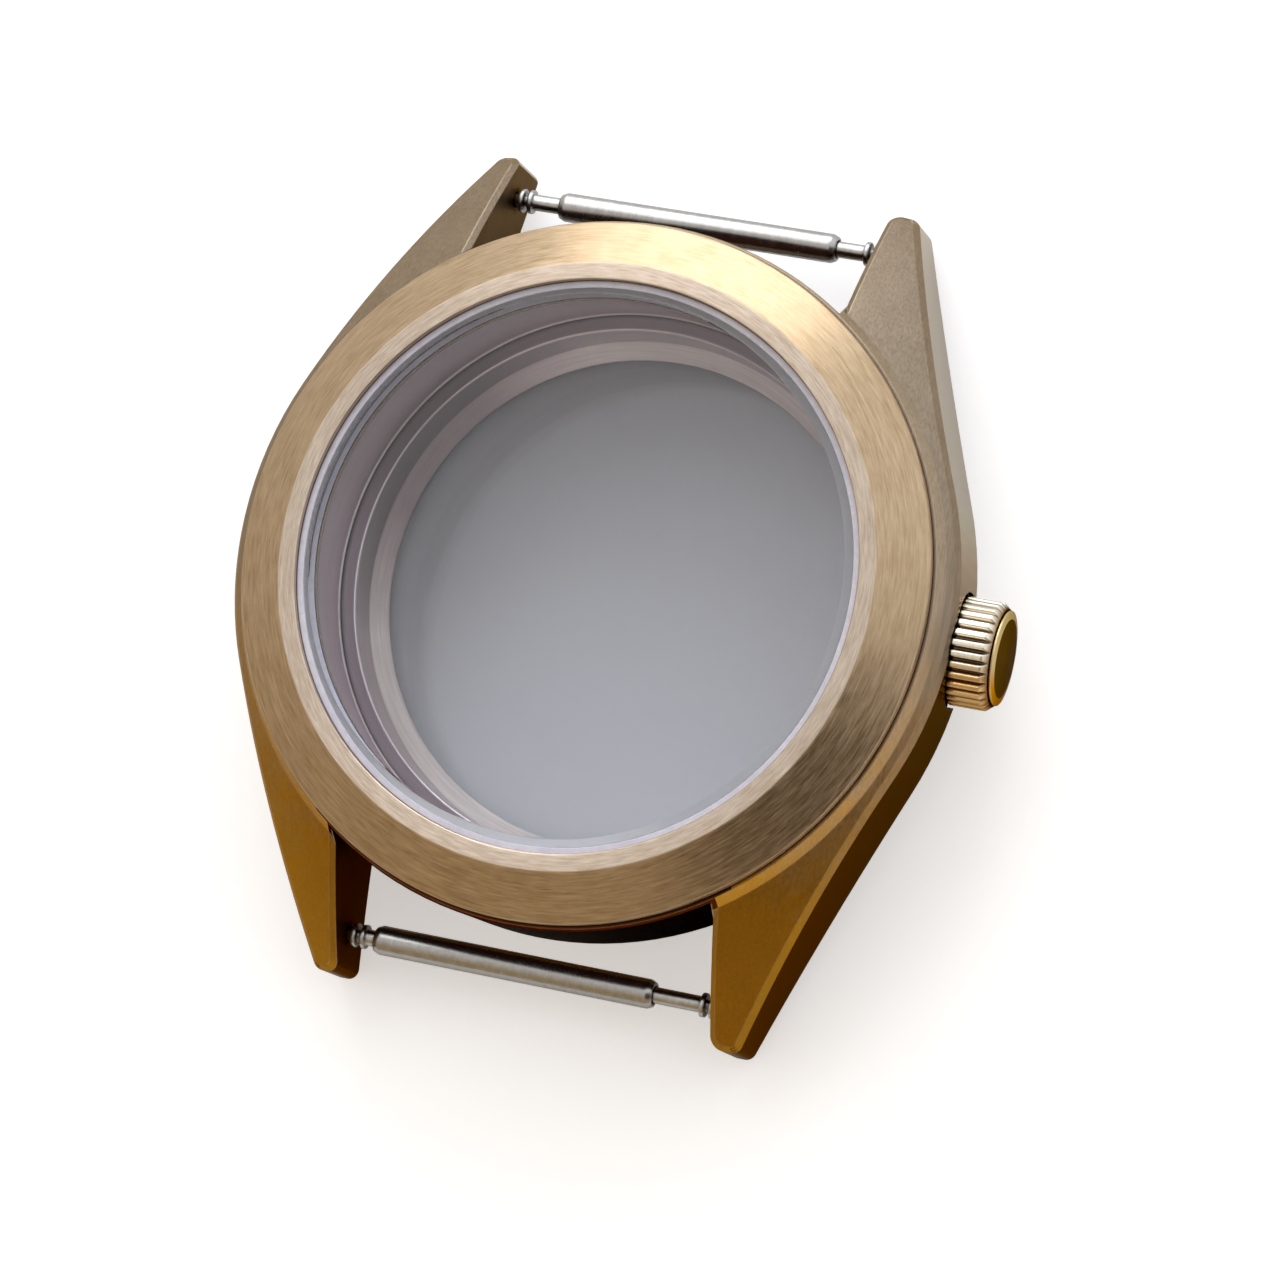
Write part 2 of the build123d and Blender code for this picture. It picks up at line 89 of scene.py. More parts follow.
def ink(screen: Colour, share: float = 1.0) -> tuple[float, float, float, float]:
    """Turn a screen colour of 0 to 255 a channel into the linear one that sockets take.

    Args:
        screen: Red, green and blue on screen.
        share: Factor on the linear channels.

    Returns:
        The linear channels and full alpha.
    """
    linear = (share * (channel / SCREEN_WHITE) ** SCREEN_GAMMA for channel in screen)
    return (*linear, 1.0)


def opaque(colour: Colour) -> tuple[float, float, float, float]:
    """Give a linear colour the full alpha that colour sockets ask for."""
    return (*colour, 1.0)


@dataclass(frozen=True)
class Spindle:
    """An axis that pieces are turned round, with two directions across it."""

    origin: Point
    axis: Point
    across: Point
    over: Point

    def place(self, along: Array, radius: Array, angle: Array) -> Array:
        """Put cylinder coordinates into the frame of the case.

        Formula: origin + axis * along + across * radius * cos(angle) + over * radius *
        sin(angle), scaled from millimetres to metres.

        Args:
            along: Places along the axis.
            radius: Distances from the axis.
            angle: Angles from the direction across.

        Returns:
            Points in metres, with one more dimension than the inputs.
        """
        parts = (
            along[..., None] * np.array(self.axis)
            + (radius * np.cos(angle))[..., None] * np.array(self.across)
            + (radius * np.sin(angle))[..., None] * np.array(self.over)
        )
        return (parts + np.array(self.origin)) * MM


ALONG_X = ((1, 0, 0), (0, 1, 0), (0, 0, 1))
CASE_SPINDLE = Spindle((0, 0, 0), (0, 0, 1), (1, 0, 0), (0, 1, 0))
CROWN_SPINDLE = Spindle((0, 0, 5.8), *ALONG_X)
BAR_SPINDLES = {
    "upper": Spindle((0, 19.5, 3.8), *ALONG_X),
    "lower": Spindle((0, -19.5, 3.8), *ALONG_X),
}


# Meshes


def linked(name: str, data: bpy.types.ID) -> Object:
    """Put data into the scene.

    Args:
        name: Name of the object.
        data: Its mesh, lamp or camera.

    Returns:
        The new object.
    """
    piece = bpy.data.objects.new(name, data)
    bpy.context.scene.collection.objects.link(piece)
    return piece


def tidy_mesh(piece: Object, merge_distance: float) -> None:
    """Merge doubles, drop faces without area and turn every face outwards.

    Args:
        piece: The object to tidy.
        merge_distance: Distance in metres under which points become one.
    """
    work = bmesh.new()
    work.from_mesh(piece.data)
    bmesh.ops.remove_doubles(work, verts=work.verts, dist=merge_distance)
    bmesh.ops.dissolve_degenerate(work, edges=work.edges, dist=merge_distance)
    bmesh.ops.recalc_face_normals(work, faces=work.faces)
    work.to_mesh(piece.data)
    work.free()
    piece.data.update()


def lattice(name: str, grid: Array, close_rows: bool, close_columns: bool) -> Object:
    """Make a smooth mesh from a grid of points, joining neighbours by four-sided faces.

    Formula: the face at row i and column j has the corners (i, j), (i+1, j), (i+1, j+1)
    and (i, j+1), counted round where the rows or columns close.

    Args:
        name: Name of the piece.
        grid: Points in metres, rows by columns by three.
        close_rows: Whether the last row joins the first.
        close_columns: Whether the last column joins the first.

    Returns:
        The new object, with poles and seams merged and faces outwards.
    """
    rows, columns = grid.shape[:2]
    row = np.arange(rows if close_rows else rows - 1)[:, None]
    column = np.arange(columns if close_columns else columns - 1)[None, :]
    row_after, column_after = (row + 1) % rows, (column + 1) % columns
    places = ((row, column), (row_after, column), (row_after, column_after), (row, column_after))
    corners = np.stack([down * columns + aside for down, aside in places], -1).reshape(-1, 4)
    mesh = bpy.data.meshes.new(name)
    mesh.vertices.add(rows * columns)
    mesh.vertices.foreach_set("co", grid.astype(np.float32).reshape(-1))
    mesh.loops.add(corners.size)
    mesh.loops.foreach_set("vertex_index", corners.astype(np.int32).reshape(-1))
    mesh.polygons.add(len(corners))
    mesh.polygons.foreach_set("loop_start", np.arange(0, corners.size, 4, dtype=np.int32))
    mesh.update(calc_edges=True)
    mesh.validate()
    piece = linked(name, mesh)
    tidy_mesh(piece, MERGE_TURNED)
    mesh.polygons.foreach_set("use_smooth", np.ones(len(mesh.polygons), dtype=bool))
    return piece


def rounded(outline: Outline, edge: float) -> Array:
    """Round the corners of a closed outline that lie off the axis.

    Formula: a corner becomes a quadratic curve between two points that lie one edge size
    from it, and one more point on each side keeps the shading of the flat level.

    Args:
        outline: Corners as (place along the axis, radius).
        edge: Size of the rounding, cut down on short sides.

    Returns:
        The rounded outline, points by two.
    """
    corner = np.array(outline, dtype=float)
    before = np.roll(corner, 1, axis=0) - corner
    after = np.roll(corner, -1, axis=0) - corner
    before_length = np.linalg.norm(before, axis=1, keepdims=True)
    after_length = np.linalg.norm(after, axis=1, keepdims=True)
    shorter = np.minimum(before_length, after_length)
    on_axis = corner[:, 1:2] < ON_AXIS
    size = np.where(on_axis, 0.0, np.minimum(edge, CORNER_SHARE * shorter))
    hold = np.where(on_axis, 0.0, np.minimum(HOLD_RATIO * size, HOLD_SHARE * shorter))
    to_before, to_after = before / before_length, after / after_length
    share = np.linspace(0.0, 1.0, CORNER_STEPS + 1)[None, :, None]
    start = (corner + to_before * size)[:, None, :]
    end = (corner + to_after * size)[:, None, :]
    middle = corner[:, None, :]
    curve = (1 - share) ** 2 * start + 2 * share * (1 - share) * middle + share**2 * end
    first, last = corner + to_before * hold, corner + to_after * hold
    return np.concatenate([first[:, None, :], curve, last[:, None, :]], axis=1).reshape(-1, 2)


def refined(profile: Array, longest: float) -> Array:
    """Cut the long sides of a closed profile into steps.

    Formula: each side gets as many points as its length holds steps, spread evenly.

    Args:
        profile: Points by two, closed.
        longest: Longest step that stays.

    Returns:
        The denser profile.
    """
    closed = np.vstack([profile, profile[:1]])
    length = np.linalg.norm(np.diff(closed, axis=0), axis=1)
    counts = np.maximum(1, np.ceil(length / longest)).astype(int)
    start = np.repeat(np.arange(len(length)), counts)
    first = np.repeat(np.cumsum(counts) - counts, counts)
    share = (np.arange(counts.sum()) - first) / np.repeat(counts, counts)
    return closed[start] + share[:, None] * (closed[start + 1] - closed[start])


def turned(
    name: str, spindle: Spindle, outline: Outline, edge: float = 0.05, segments: int = RING_STEPS,
    displace: Displace | None = None, fine: float = 0.0,
) -> Object:
    """Turn a closed outline round a spindle, with its edges broken.

    Formula: the outline's points (along, radius) are repeated at equal angles, and where
    a displacement is given each radius becomes displace(along, radius, angle).

    Args:
        name: Name of the piece.
        spindle: Its axis.
        outline: Corners as (place along the axis, radius).
        edge: Size of the rounding on each corner.
        segments: Steps round the axis.
        displace: Gives the new radius of every point.
        fine: Longest step along the outline, or zero to leave it.

    Returns:
        The new object.
    """
    profile = rounded(outline, edge)
    if fine > 0:
        profile = refined(profile, fine)
    angle = np.linspace(0.0, FULL_TURN, segments, endpoint=False)
    along, turn = np.meshgrid(profile[:, 0], angle, indexing="ij")
    radius = np.broadcast_to(profile[:, 1:2], along.shape)
    if displace is not None:
        radius = displace(along, radius, turn)
    return lattice(name, spindle.place(along, radius, turn), True, True)


def path(*moves: float | tuple[float, float]) -> Outline:
    """Walk round an outline.

    Args:
        *moves: Pairs, which set place and radius, and numbers, which change the radius and
            the place in turn, the radius first after a pair.

    Returns:
        The corners as (place along the axis, radius).
    """
    corners: Outline = []
    outwards = True
    for move in moves:
        if isinstance(move, tuple):
            corners.append(move)
        else:
            along, radius = corners[-1]
            corners.append((along, move) if outwards else (move, radius))
        outwards = isinstance(move, tuple) or not outwards
    return corners


@dataclass(frozen=True)
class Thread:
    """A screw thread in the part of a turned piece between two places and two radii."""

    height: float
    pitch: float = 0.35
    start: float = -math.inf
    end: float = math.inf
    low: float = -math.inf
    high: float = math.inf

    def cut(self, along: Array, radius: Array, angle: Array) -> Array:
        """Cut the thread.

        Formula: the radius drops by a triangle wave whose place gains one pitch a turn.

        Args:
            along: Places along the axis.
            radius: Radii of the points.
            angle: Angles of the points.

        Returns:
            The new radii.
        """
        wave = np.abs(((along / self.pitch - angle / FULL_TURN) % 1.0) * 2.0 - 1.0)
        inside = (along > self.start) & (along < self.end)
        inside &= (radius > self.low) & (radius < self.high)
        return np.where(inside, radius - self.height * wave, radius)


def coil(
    name: str, spindle: Spindle, start: float, end: float, mean_radius: float,
    wire_radius: float, turns: float, sides: int = 8, steps_per_turn: int = 28,
) -> Object:
    """Sweep a round wire along a helix round a spindle.

    Formula: the wire's middle runs at the mean radius and gains one pitch a turn, and a
    circle of the wire's radius stands across it in the plane of the axis.

    Args:
        name: Name of the piece.
        spindle: Its axis.
        start: Where the wire starts along the axis.
        end: Where it ends.
        mean_radius: Distance of the wire's middle from the axis.
        wire_radius: Radius of the wire.
        turns: Number of turns.
        sides: Sides of the wire.
        steps_per_turn: Steps in one turn.

    Returns:
        The new object.
    """
    count = int(turns * steps_per_turn) + 1
    share = np.linspace(0.0, 1.0, count)
    around = np.linspace(0.0, FULL_TURN, sides, endpoint=False)
    thick = np.full(count, wire_radius)
    thick[[0, -1]] = 0.0
    middle = start + wire_radius + share * (end - start - 2 * wire_radius)
    along = middle[:, None] + thick[:, None] * np.cos(around)[None, :]
    radius = mean_radius + thick[:, None] * np.sin(around)[None, :]
    angle = np.broadcast_to((share * turns * FULL_TURN)[:, None], along.shape)
    return lattice(name, spindle.place(along, radius, angle), False, True)


def smooth_copy(name: str, node: str, sharp_degrees: float) -> Object:
    """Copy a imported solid, merge its loose triangles and shade it smooth between edges.

    Args:
        name: Name of the copy.
        node: Name of the solid.
        sharp_degrees: Angle between faces above which an edge stays sharp.

    Returns:
        The new object.
    """
    piece = linked(name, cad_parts[node].data.copy())
    tidy_mesh(piece, MERGE_SOLID)
    work = bmesh.new()
    work.from_mesh(piece.data)
    limit = math.radians(sharp_degrees)
    for face in work.faces:
        face.smooth = True
    for side in work.edges:
        side.smooth = len(side.link_faces) == 2 and side.calc_face_angle(0.0) < limit
    work.to_mesh(piece.data)
    work.free()
    return piece


def paint_faces(piece: Object, tint: Array | Colour | float, polish: Array | float) -> None:
    """Write a tint and a polish for every face, which the finishes read.

    Args:
        piece: The piece.
        tint: Colour that the metal's own is multiplied by, for all faces or for each.
        polish: 1 for polished, 0 for brushed and less for duller, for all or for each.
    """
    mesh = piece.data
    count = len(mesh.polygons)
    colours = np.ones((count, 4), dtype=np.float32)
    colours[:, :3] = tint
    sizes = np.empty(count, dtype=np.int32)
    mesh.polygons.foreach_get("loop_total", sizes)
    tints = mesh.attributes.new("tint", "FLOAT_COLOR", "CORNER").data
    tints.foreach_set("color", np.repeat(colours, sizes, axis=0).reshape(-1))
    polishes = mesh.attributes.new("polish", "FLOAT", "FACE").data
    polishes.foreach_set("value", np.broadcast_to(polish, count).astype(np.float32))


def face_places(piece: Object) -> tuple[Array, Array, Array]:
    """Tell where a piece's faces are and where they point.

    Args:
        piece: The piece.

    Returns:
        The middles in millimetres, the normals and the distances from the case axis.
    """
    faces = piece.data.polygons
    read = []
    for label in ("center", "normal"):
        values = np.empty(len(faces) * 3, dtype=np.float32)
        faces.foreach_get(label, values)
        read.append(values.reshape(-1, 3))
    middle = read[0] / MM
    return middle, read[1], np.hypot(middle[:, 0], middle[:, 1])


def blend(share: Array, first: Colour, second: Colour) -> Array:
    """Mix two tints by a share from 0 to 1 that is given as a column."""
    return np.array(first) * (1.0 - share) + np.array(second) * share


# Shader nodes


class Web:
    """Adds nodes and links to one node tree."""

    def __init__(self, tree: Tree) -> None:
        """Start on a tree."""
        self.tree = tree

    def feed(self, target: Socket, value: object) -> None:
        """Link an output to an input, set the input to a plain value, or leave it.

        Args:
            target: The input.
            value: Output or value, or None to leave it.
        """
        if isinstance(value, Socket):
            self.tree.links.new(value, target)
        elif value is not None:
            target.default_value = value

    def fill(self, node: bpy.types.Node, **values: object) -> bpy.types.Node:
        """Feed the inputs of a node.

        Args:
            node: The node.
            **values: Value or output by the input's name, with underscores for spaces.

        Returns:
            The same node.
        """
        for label, value in values.items():
            self.feed(node.inputs[label.replace("_", " ")], value)
        return node

    def add(self, kind: str, settings: dict | None = None, **values: object) -> bpy.types.Node:
        """Add a node.

        Args:
            kind: Type of the node.
            settings: Value by name of each setting that isn't the usual one.
            **values: Value or output for each named input.

        Returns:
            The new node.
        """
        node = self.tree.nodes.new(kind)
        for label, value in (settings or {}).items():
            setattr(node, label, value)
        return self.fill(node, **values)

    def group(self, tree: Tree, **values: object) -> Outputs:
        """Place a shared group with its own values, and return its outputs."""
        return self.add("ShaderNodeGroup", {"node_tree": tree}, **values).outputs

    def work(self, kind: str, settings: dict, values: tuple[object, ...]) -> Outputs:
        """Add a node and feed its inputs in their order.

        Args:
            kind: Type of the node.
            settings: Value by name of each setting.
            values: Values or outputs, None to skip an input.

        Returns:
            Its outputs.
        """
        node = self.add(kind, settings)
        for target, value in zip(node.inputs, values):
            self.feed(target, value)
        return node.outputs

    def maths(self, operation: str, *values: object, clamp: bool = False) -> Socket:
        """Work out one to three values, and clamp the result to 0 and 1 if asked."""
        settings = {"operation": operation, "use_clamp": clamp}
        return self.work("ShaderNodeMath", settings, values)[0]

    def vector(self, operation: str, *values: object) -> Outputs:
        """Work out one or two vectors."""
        return self.work("ShaderNodeVectorMath", {"operation": operation}, values)

    def ranged(
        self, value: object, low: float, high: float, to_low: float = 0.0, to_high: float = 1.0
    ) -> Socket:
        """Stretch a value from one range to another, without leaving it.

        Args:
            value: The output to stretch.
            low: Lower end of its range.
            high: Upper end of its range.
            to_low: What the lower end becomes.
            to_high: What the upper end becomes.

        Returns:
            The stretched output.
        """
        ends = {"From_Min": low, "From_Max": high, "To_Min": to_low, "To_Max": to_high}
        return self.add("ShaderNodeMapRange", Value=value, **ends).outputs["Result"]

    def noise(
        self, vector: object, fourth: object = None, scale: object = 1.0, detail: float = 3.0,
        roughness: float = 0.6,
    ) -> Socket:
        """Add a noise, over four dimensions where a fourth is given.

        Args:
            vector: The place that is read.
            fourth: The fourth coordinate, or None.
            scale: Scale of the noise.
            detail: Number of octaves.
            roughness: Share that each finer octave keeps.

        Returns:
            The noise from 0 to 1.
        """
        settings = {"noise_dimensions": "3D" if fourth is None else "4D"}
        node = self.add("ShaderNodeTexNoise", settings, Vector=vector, Scale=scale)
        if fourth is not None:
            self.fill(node, W=fourth)
        return self.fill(node, Detail=detail, Roughness=roughness).outputs[0]

    def mixed(self, share: object, first: object, second: object) -> Socket:
        """Mix two colours.

        Args:
            share: How much of the second colour there is.
            first: Colour at 0.
            second: Colour at 1.

        Returns:
            The mixed colour.
        """
        values = (share, *[None] * 5, first, second)
        return self.work("ShaderNodeMix", {"data_type": "RGBA"}, values)[2]

    def multiplied(self, first: object, second: object) -> Socket:
        """Multiply two colours, channel by channel, up to white.

        Args:
            first: One colour.
            second: The other.

        Returns:
            The product.
        """
        product = self.mixed(1.0, first, second)
        product.node.blend_type = "MULTIPLY"
        product.node.clamp_result = True
        return product

    def attribute(self, name: str, output: str) -> Socket:
        """Read an attribute of the mesh through one of the node's outputs."""
        return self.add("ShaderNodeAttribute", {"attribute_name": name}).outputs[output]

    def finish(self, **values: object) -> Tree:
        """Feed the outputs of a group by name, and return the group."""
        self.add("NodeGroupOutput", **values)
        return self.tree


class Effects:
    """Node groups built once and placed in each material with its own values."""

    slow_share: float = 0.12  # line density of the slow shade, as a share of the streaks'
    slow_noise: dict = {"detail": 2.0, "roughness": 0.5}
    straight_stretch: Point = (1.0, 0.02, 1.0)
    bevel_reach: float = 0.12
    small_patches: float = 7.0  # scale of the small patches, as a multiple of the wide ones'
    patch_span: tuple[float, float] = (0.14, 0.42)
    cover_span: tuple[float, float] = (0.25, 0.85)

    def __init__(self) -> None:
        """Build every group."""
        self.grain = self._turned_grain()
        self.straight = self._straight_grain()
        self.wear = self._edge_wear()
        self.cloud = self._cloud()
        self.grime_and_shade = self._grime_and_shade()

    @staticmethod
    def _start(name: str, inputs: dict[str, float | None], *outputs: str) -> tuple[Web, Outputs]:
        """Make a group with its sockets, the one named Normal and inputs at None as vectors.

        Args:
            name: Name of the group.
            inputs: Starting value by name, or None for a vector.
            *outputs: Names of the outputs.

        Returns:
            The group's web and what is put into the group.
        """
        group = bpy.data.node_groups.new(name, "ShaderNodeTree")
        for label, value in inputs.items():
            kind = "NodeSocketVector" if value is None else "NodeSocketFloat"
            socket = group.interface.new_socket(label, in_out="INPUT", socket_type=kind)
            if value is not None:
                socket.default_value = value
        for label in outputs:
            kind = "NodeSocketVector" if label == "Normal" else "NodeSocketFloat"
            group.interface.new_socket(label, in_out="OUTPUT", socket_type=kind)
        web = Web(group)
        return web, web.add("NodeGroupInput").outputs

    def _turned_grain(self) -> Tree:
        """Make brush lines that run round the Z axis of the Vector input.

        Formula: noise over (distance from the axis, height) at the line density and over
        the cosine and sine of the angle at the much lower arc density.

        Returns:
            The group, which puts out Streak from 0 to 1 and a slower Shade.
        """
        sockets = {"Vector": None, "Lines": 9000.0, "Arc": 9.0}
        web, given = self._start("turned_grain", sockets, "Streak", "Shade")
        x, y, z = web.add("ShaderNodeSeparateXYZ", Vector=given["Vector"]).outputs
        squares = web.maths("MULTIPLY_ADD", y, y, web.maths("MULTIPLY", x, x))
        angle = web.maths("ARCTAN2", y, x)
        cosine = web.maths("MULTIPLY", web.maths("COSINE", angle), given["Arc"])
        sine = web.maths("MULTIPLY", web.maths("SINE", angle), given["Arc"])
        radius = web.maths("MULTIPLY", web.maths("SQRT", squares), given["Lines"])
        height = web.maths("MULTIPLY", z, given["Lines"])
        place = web.add("ShaderNodeCombineXYZ", X=radius, Y=cosine, Z=sine)
        streak = web.noise(place.outputs[0], height)
        slow_radius = web.maths("MULTIPLY", radius, self.slow_share)
        slow_height = web.maths("MULTIPLY", height, self.slow_share)
        slow_place = web.add("ShaderNodeCombineXYZ", X=slow_radius, Y=cosine, Z=sine)
        shade = web.noise(slow_place.outputs[0], slow_height, **self.slow_noise)
        return web.finish(Streak=streak, Shade=shade)

    def _straight_grain(self) -> Tree:
        """Make brush lines that run along the Y axis of the Vector input.

        Formula: noise over X and Z at the line density and over Y at one fiftieth of it.

        Returns:
            The group, which puts out Streak from 0 to 1 and a slower Shade.
        """
        sockets = {"Vector": None, "Lines": 9000.0}
        web, given = self._start("straight_grain", sockets, "Streak", "Shade")
        stretched = web.vector("MULTIPLY", given["Vector"], self.straight_stretch)[0]
        place = web.vector("SCALE", stretched, None, None, given["Lines"])[0]
        shade = web.noise(place, scale=self.slow_share, **self.slow_noise)
        return web.finish(Streak=web.noise(place), Shade=shade)

    def _edge_wear(self) -> Tree:
        """Find the edges of a piece and a rounded normal for them.

        Formula: one less the dot product of the true normal and the normal averaged over
        the radius, stretched and broken up by noise.

        Returns:
            The group, which puts out Mask from 0 to 1 and Normal.
        """
        sockets = {"Vector": None, "Gain": 6.0, "Breaks": 900.0}
        web, given = self._start("edge_wear", sockets, "Mask", "Normal")
        reach = self.bevel_reach * MM
        soft = web.add("ShaderNodeBevel", {"samples": 4}, Radius=reach).outputs[0]
        true = web.add("ShaderNodeNewGeometry").outputs["Normal"]
        bend = web.maths("SUBTRACT", 1.0, web.vector("DOT_PRODUCT", soft, true)["Value"])
        spread = web.maths("MULTIPLY", bend, given["Gain"])
        breaks = web.noise(given["Vector"], scale=given["Breaks"], detail=2.0)
        return web.finish(Mask=web.maths("MULTIPLY", spread, breaks, clamp=True), Normal=soft)

    def _cloud(self) -> Tree:
        """Make soft patches, as of handling and dust.

        Formula: two noises, at the given size and at seven times that, multiplied and
        stretched to the range from 0 to 1.

        Returns:
            The group, which puts out Mask from 0 to 1.
        """
        web, given = self._start("soft_patches", {"Vector": None, "Size": 120.0}, "Mask")
        wide = web.noise(given["Vector"], scale=given["Size"], roughness=0.55)
        small_scale = web.maths("MULTIPLY", given["Size"], self.small_patches)
        small = web.noise(given["Vector"], scale=small_scale)
        both = web.maths("MULTIPLY", wide, small)
        return web.finish(Mask=web.ranged(both, *self.patch_span))

    def _grime_and_shade(self) -> Tree:
        """Find the grooves and corners that are darkened, as grime and as painted shade.

        Formula: how much of the near surroundings is covered within the reach, stretched
        to the range from 0 to 1.

        Returns:
            The group, which puts out Mask from 0 to 1.
        """
        web, given = self._start("corner_grime_and_shade", {"Reach": 0.4 * MM}, "Mask")
        cover = web.add("ShaderNodeAmbientOcclusion", {"samples": 6}, Distance=given["Reach"])
        return web.finish(Mask=web.ranged(cover.outputs["AO"], *self.cover_span, 1.0, 0.0))


# Finishes


def new_material(name: str) -> tuple[Material, Web, bpy.types.Node, Socket]:
    """Make a material with nodes.

    Args:
        name: Its name.

    Returns:
        The material, its web, its Principled BSDF and the Object coordinates.
    """
    material = bpy.data.materials.new(name)
    material.use_nodes = True
    web = Web(material.node_tree)
    place = web.add("ShaderNodeTexCoord").outputs["Object"]
    return material, web, material.node_tree.nodes["Principled BSDF"], place


class Brush(Enum):
    """Way that the brush lines of a metal run."""

    ROUND_CASE = "round the case axis"
    ROUND_X = "round an axis along X"
    LENGTHWISE = "from 12 o'clock to 6 o'clock"


@dataclass(frozen=True)
class MetalFinish:
    """A brushed or turned metal, with its screen colours, brush lines and worn edges."""

    name: str
    light: Colour
    dark: Colour
    worn: Colour
    brush: Brush
    axis_place: Point = (0.0, 0.0, 0.0)
    lines: float = 9000.0
    arc: float = 9.0
    streak_share: float = 0.8
    shade_share: float = 0.2
    roughness: float = 0.3
    roughness_swing: float = 0.12
    handled: float = 0.05
    anisotropy: float = 0.5
    bump: float = 0.15
    bump_depth: float = 0.02
    tangent_turn: float = 0.25
    wear: float = 5.0
    # Painted reflection: a warm amber that grows towards 6 o'clock, below the given heights.
    warm_reflection: Colour | None = None
    warm_reflection_low: float = 0.0
    warm_reflection_high: float = 0.0
    warm_reflection_spread: float = 4.0
    warm_reflection_deep: float = 0.74
    tinted: bool = False
    polish_roughness: float = 0.12
    edge_tint: Colour | None = None
    # The colour mixed into grooves and corners by occlusion is grime and painted shade.
    grime_and_shade: Colour | None = None
    grime_and_shade_reach: float = 0.4

    def build(self, effects: Effects) -> Material:
        """Make the material.

        Args:
            effects: The shared node groups.

        Returns:
            The new material.
        """
        material, web, shader, place = new_material(self.name)
        mapping = web.add("ShaderNodeMapping", Vector=place)
        if self.brush is Brush.ROUND_X:
            x, y, z = (part * MM for part in self.axis_place)
            web.fill(mapping, Rotation=(0.0, -math.pi / 2, 0.0), Location=(z, -y, -x))
        lines = {"Vector": mapping.outputs[0], "Lines": self.lines}
        if self.brush is Brush.LENGTHWISE:
            grain = web.group(effects.straight, **lines)
        else:
            grain = web.group(effects.grain, Arc=self.arc, **lines)
        edge = web.group(effects.wear, Gain=self.wear, Vector=place)
        patches = web.group(effects.cloud, Vector=place)["Mask"]
        streak = web.ranged(grain["Streak"], *STREAK_SPAN)
        shade = web.maths("MULTIPLY", web.ranged(grain["Shade"], *SHADE_SPAN), self.shade_share)
        stroke = web.maths("MULTIPLY_ADD", streak, self.streak_share, shade)
        plain = web.maths("SUBTRACT", 1.0, web.attribute("polish", "Fac")) if self.tinted else 1.0
        if self.tinted:
            stroke = web.maths("MULTIPLY_ADD", web.maths("SUBTRACT", stroke, 0.5), plain, 0.5)
        colour = web.mixed(stroke, ink(self.dark), ink(self.light))
        # Painted reflection: amber towards 6 o'clock, as of a warm surface below, its edge broken
        # up by soft patches.
        if self.warm_reflection is not None:
            y = web.add("ShaderNodeSeparateXYZ", Vector=place).outputs[1]
            spread = web.maths("MULTIPLY_ADD", patches, self.warm_reflection_spread * MM, y)
            reflection_share = web.ranged(spread, self.warm_reflection_low * MM, self.warm_reflection_high * MM, 1.0, 0.0)
            deep = ink(self.warm_reflection, self.warm_reflection_deep)
            colour = web.mixed(reflection_share, colour, web.mixed(stroke, deep, ink(self.warm_reflection)))
        if self.tinted:
            colour = web.multiplied(colour, web.attribute("tint", "Color"))
        colour = web.mixed(edge["Mask"], colour, ink(self.worn))
        # Grooves and corners are darkened by occlusion, as grime and painted shade.
        if self.grime_and_shade is not None:
            corners = web.group(effects.grime_and_shade, Reach=self.grime_and_shade_reach * MM)["Mask"]
            colour = web.mixed(corners, colour, ink(self.grime_and_shade))
        if self.edge_tint is not None:
            at_edge = opaque(self.edge_tint)
            if self.tinted:
                at_edge = web.multiplied(web.attribute("tint", "Color"), at_edge)
            web.fill(shader, Specular_Tint=at_edge)
        low = self.roughness - self.roughness_swing / 2
        rough = web.ranged(grain["Streak"], *STREAK_SPAN, low, low + self.roughness_swing)
        rough = web.maths("MULTIPLY_ADD", patches, self.handled, rough)
        if self.tinted:
            over = web.maths("SUBTRACT", rough, self.polish_roughness)
            rough = web.maths("MULTIPLY_ADD", over, plain, self.polish_roughness)
        if self.brush is Brush.ROUND_CASE:
            tangent = web.add("ShaderNodeTangent", {"direction_type": "RADIAL", "axis": "Z"})
            web.fill(shader, Tangent=tangent.outputs[0], Anisotropic_Rotation=self.tangent_turn)
        strength = web.maths("MULTIPLY", plain, self.bump)
        relief = web.add("ShaderNodeBump", Height=grain["Streak"], Strength=strength)
        web.fill(relief, Distance=self.bump_depth * MM, Normal=edge["Normal"])
        web.fill(shader, Base_Color=colour, Metallic=1.0, Roughness=rough)
        web.fill(shader, Anisotropic=self.anisotropy, Normal=relief.outputs[0])
        return material


@dataclass(frozen=True)
class GlassFinish:
    """A clear or tinted glass that lets the lamps' light through."""

    name: str
    tint: Colour
    shadow_tint: Colour
    ior: float = 1.5
    dust: float = 0.03
    dust_size: float = 260.0
    ground_rim: float = 0.0

    def build(self, effects: Effects) -> Material:
        """Make the material.

        Args:
            effects: The shared node groups.

        Returns:
            The new material.
        """
        material, web, shader, place = new_material(self.name)
        patches = web.group(effects.cloud, Size=self.dust_size, Vector=place)["Mask"]
        rough = web.maths("MULTIPLY", patches, self.dust)
        if self.ground_rim > 0:
            polish = web.attribute("polish", "Fac")
            rough = web.maths("MULTIPLY_ADD", polish, self.ground_rim, rough)
        web.fill(shader, Base_Color=opaque(self.tint), Transmission_Weight=1.0)
        web.fill(shader, IOR=self.ior, Roughness=rough)
        clear = web.add("ShaderNodeBsdfTransparent", Color=opaque(self.shadow_tint))
        shadow = web.add("ShaderNodeLightPath").outputs["Is Shadow Ray"]
        parts = (shadow, shader.outputs[0], clear.outputs[0])
        both = web.work("ShaderNodeMixShader", {}, parts)[0]
        web.fill(material.node_tree.nodes["Material Output"], Surface=both)
        return material


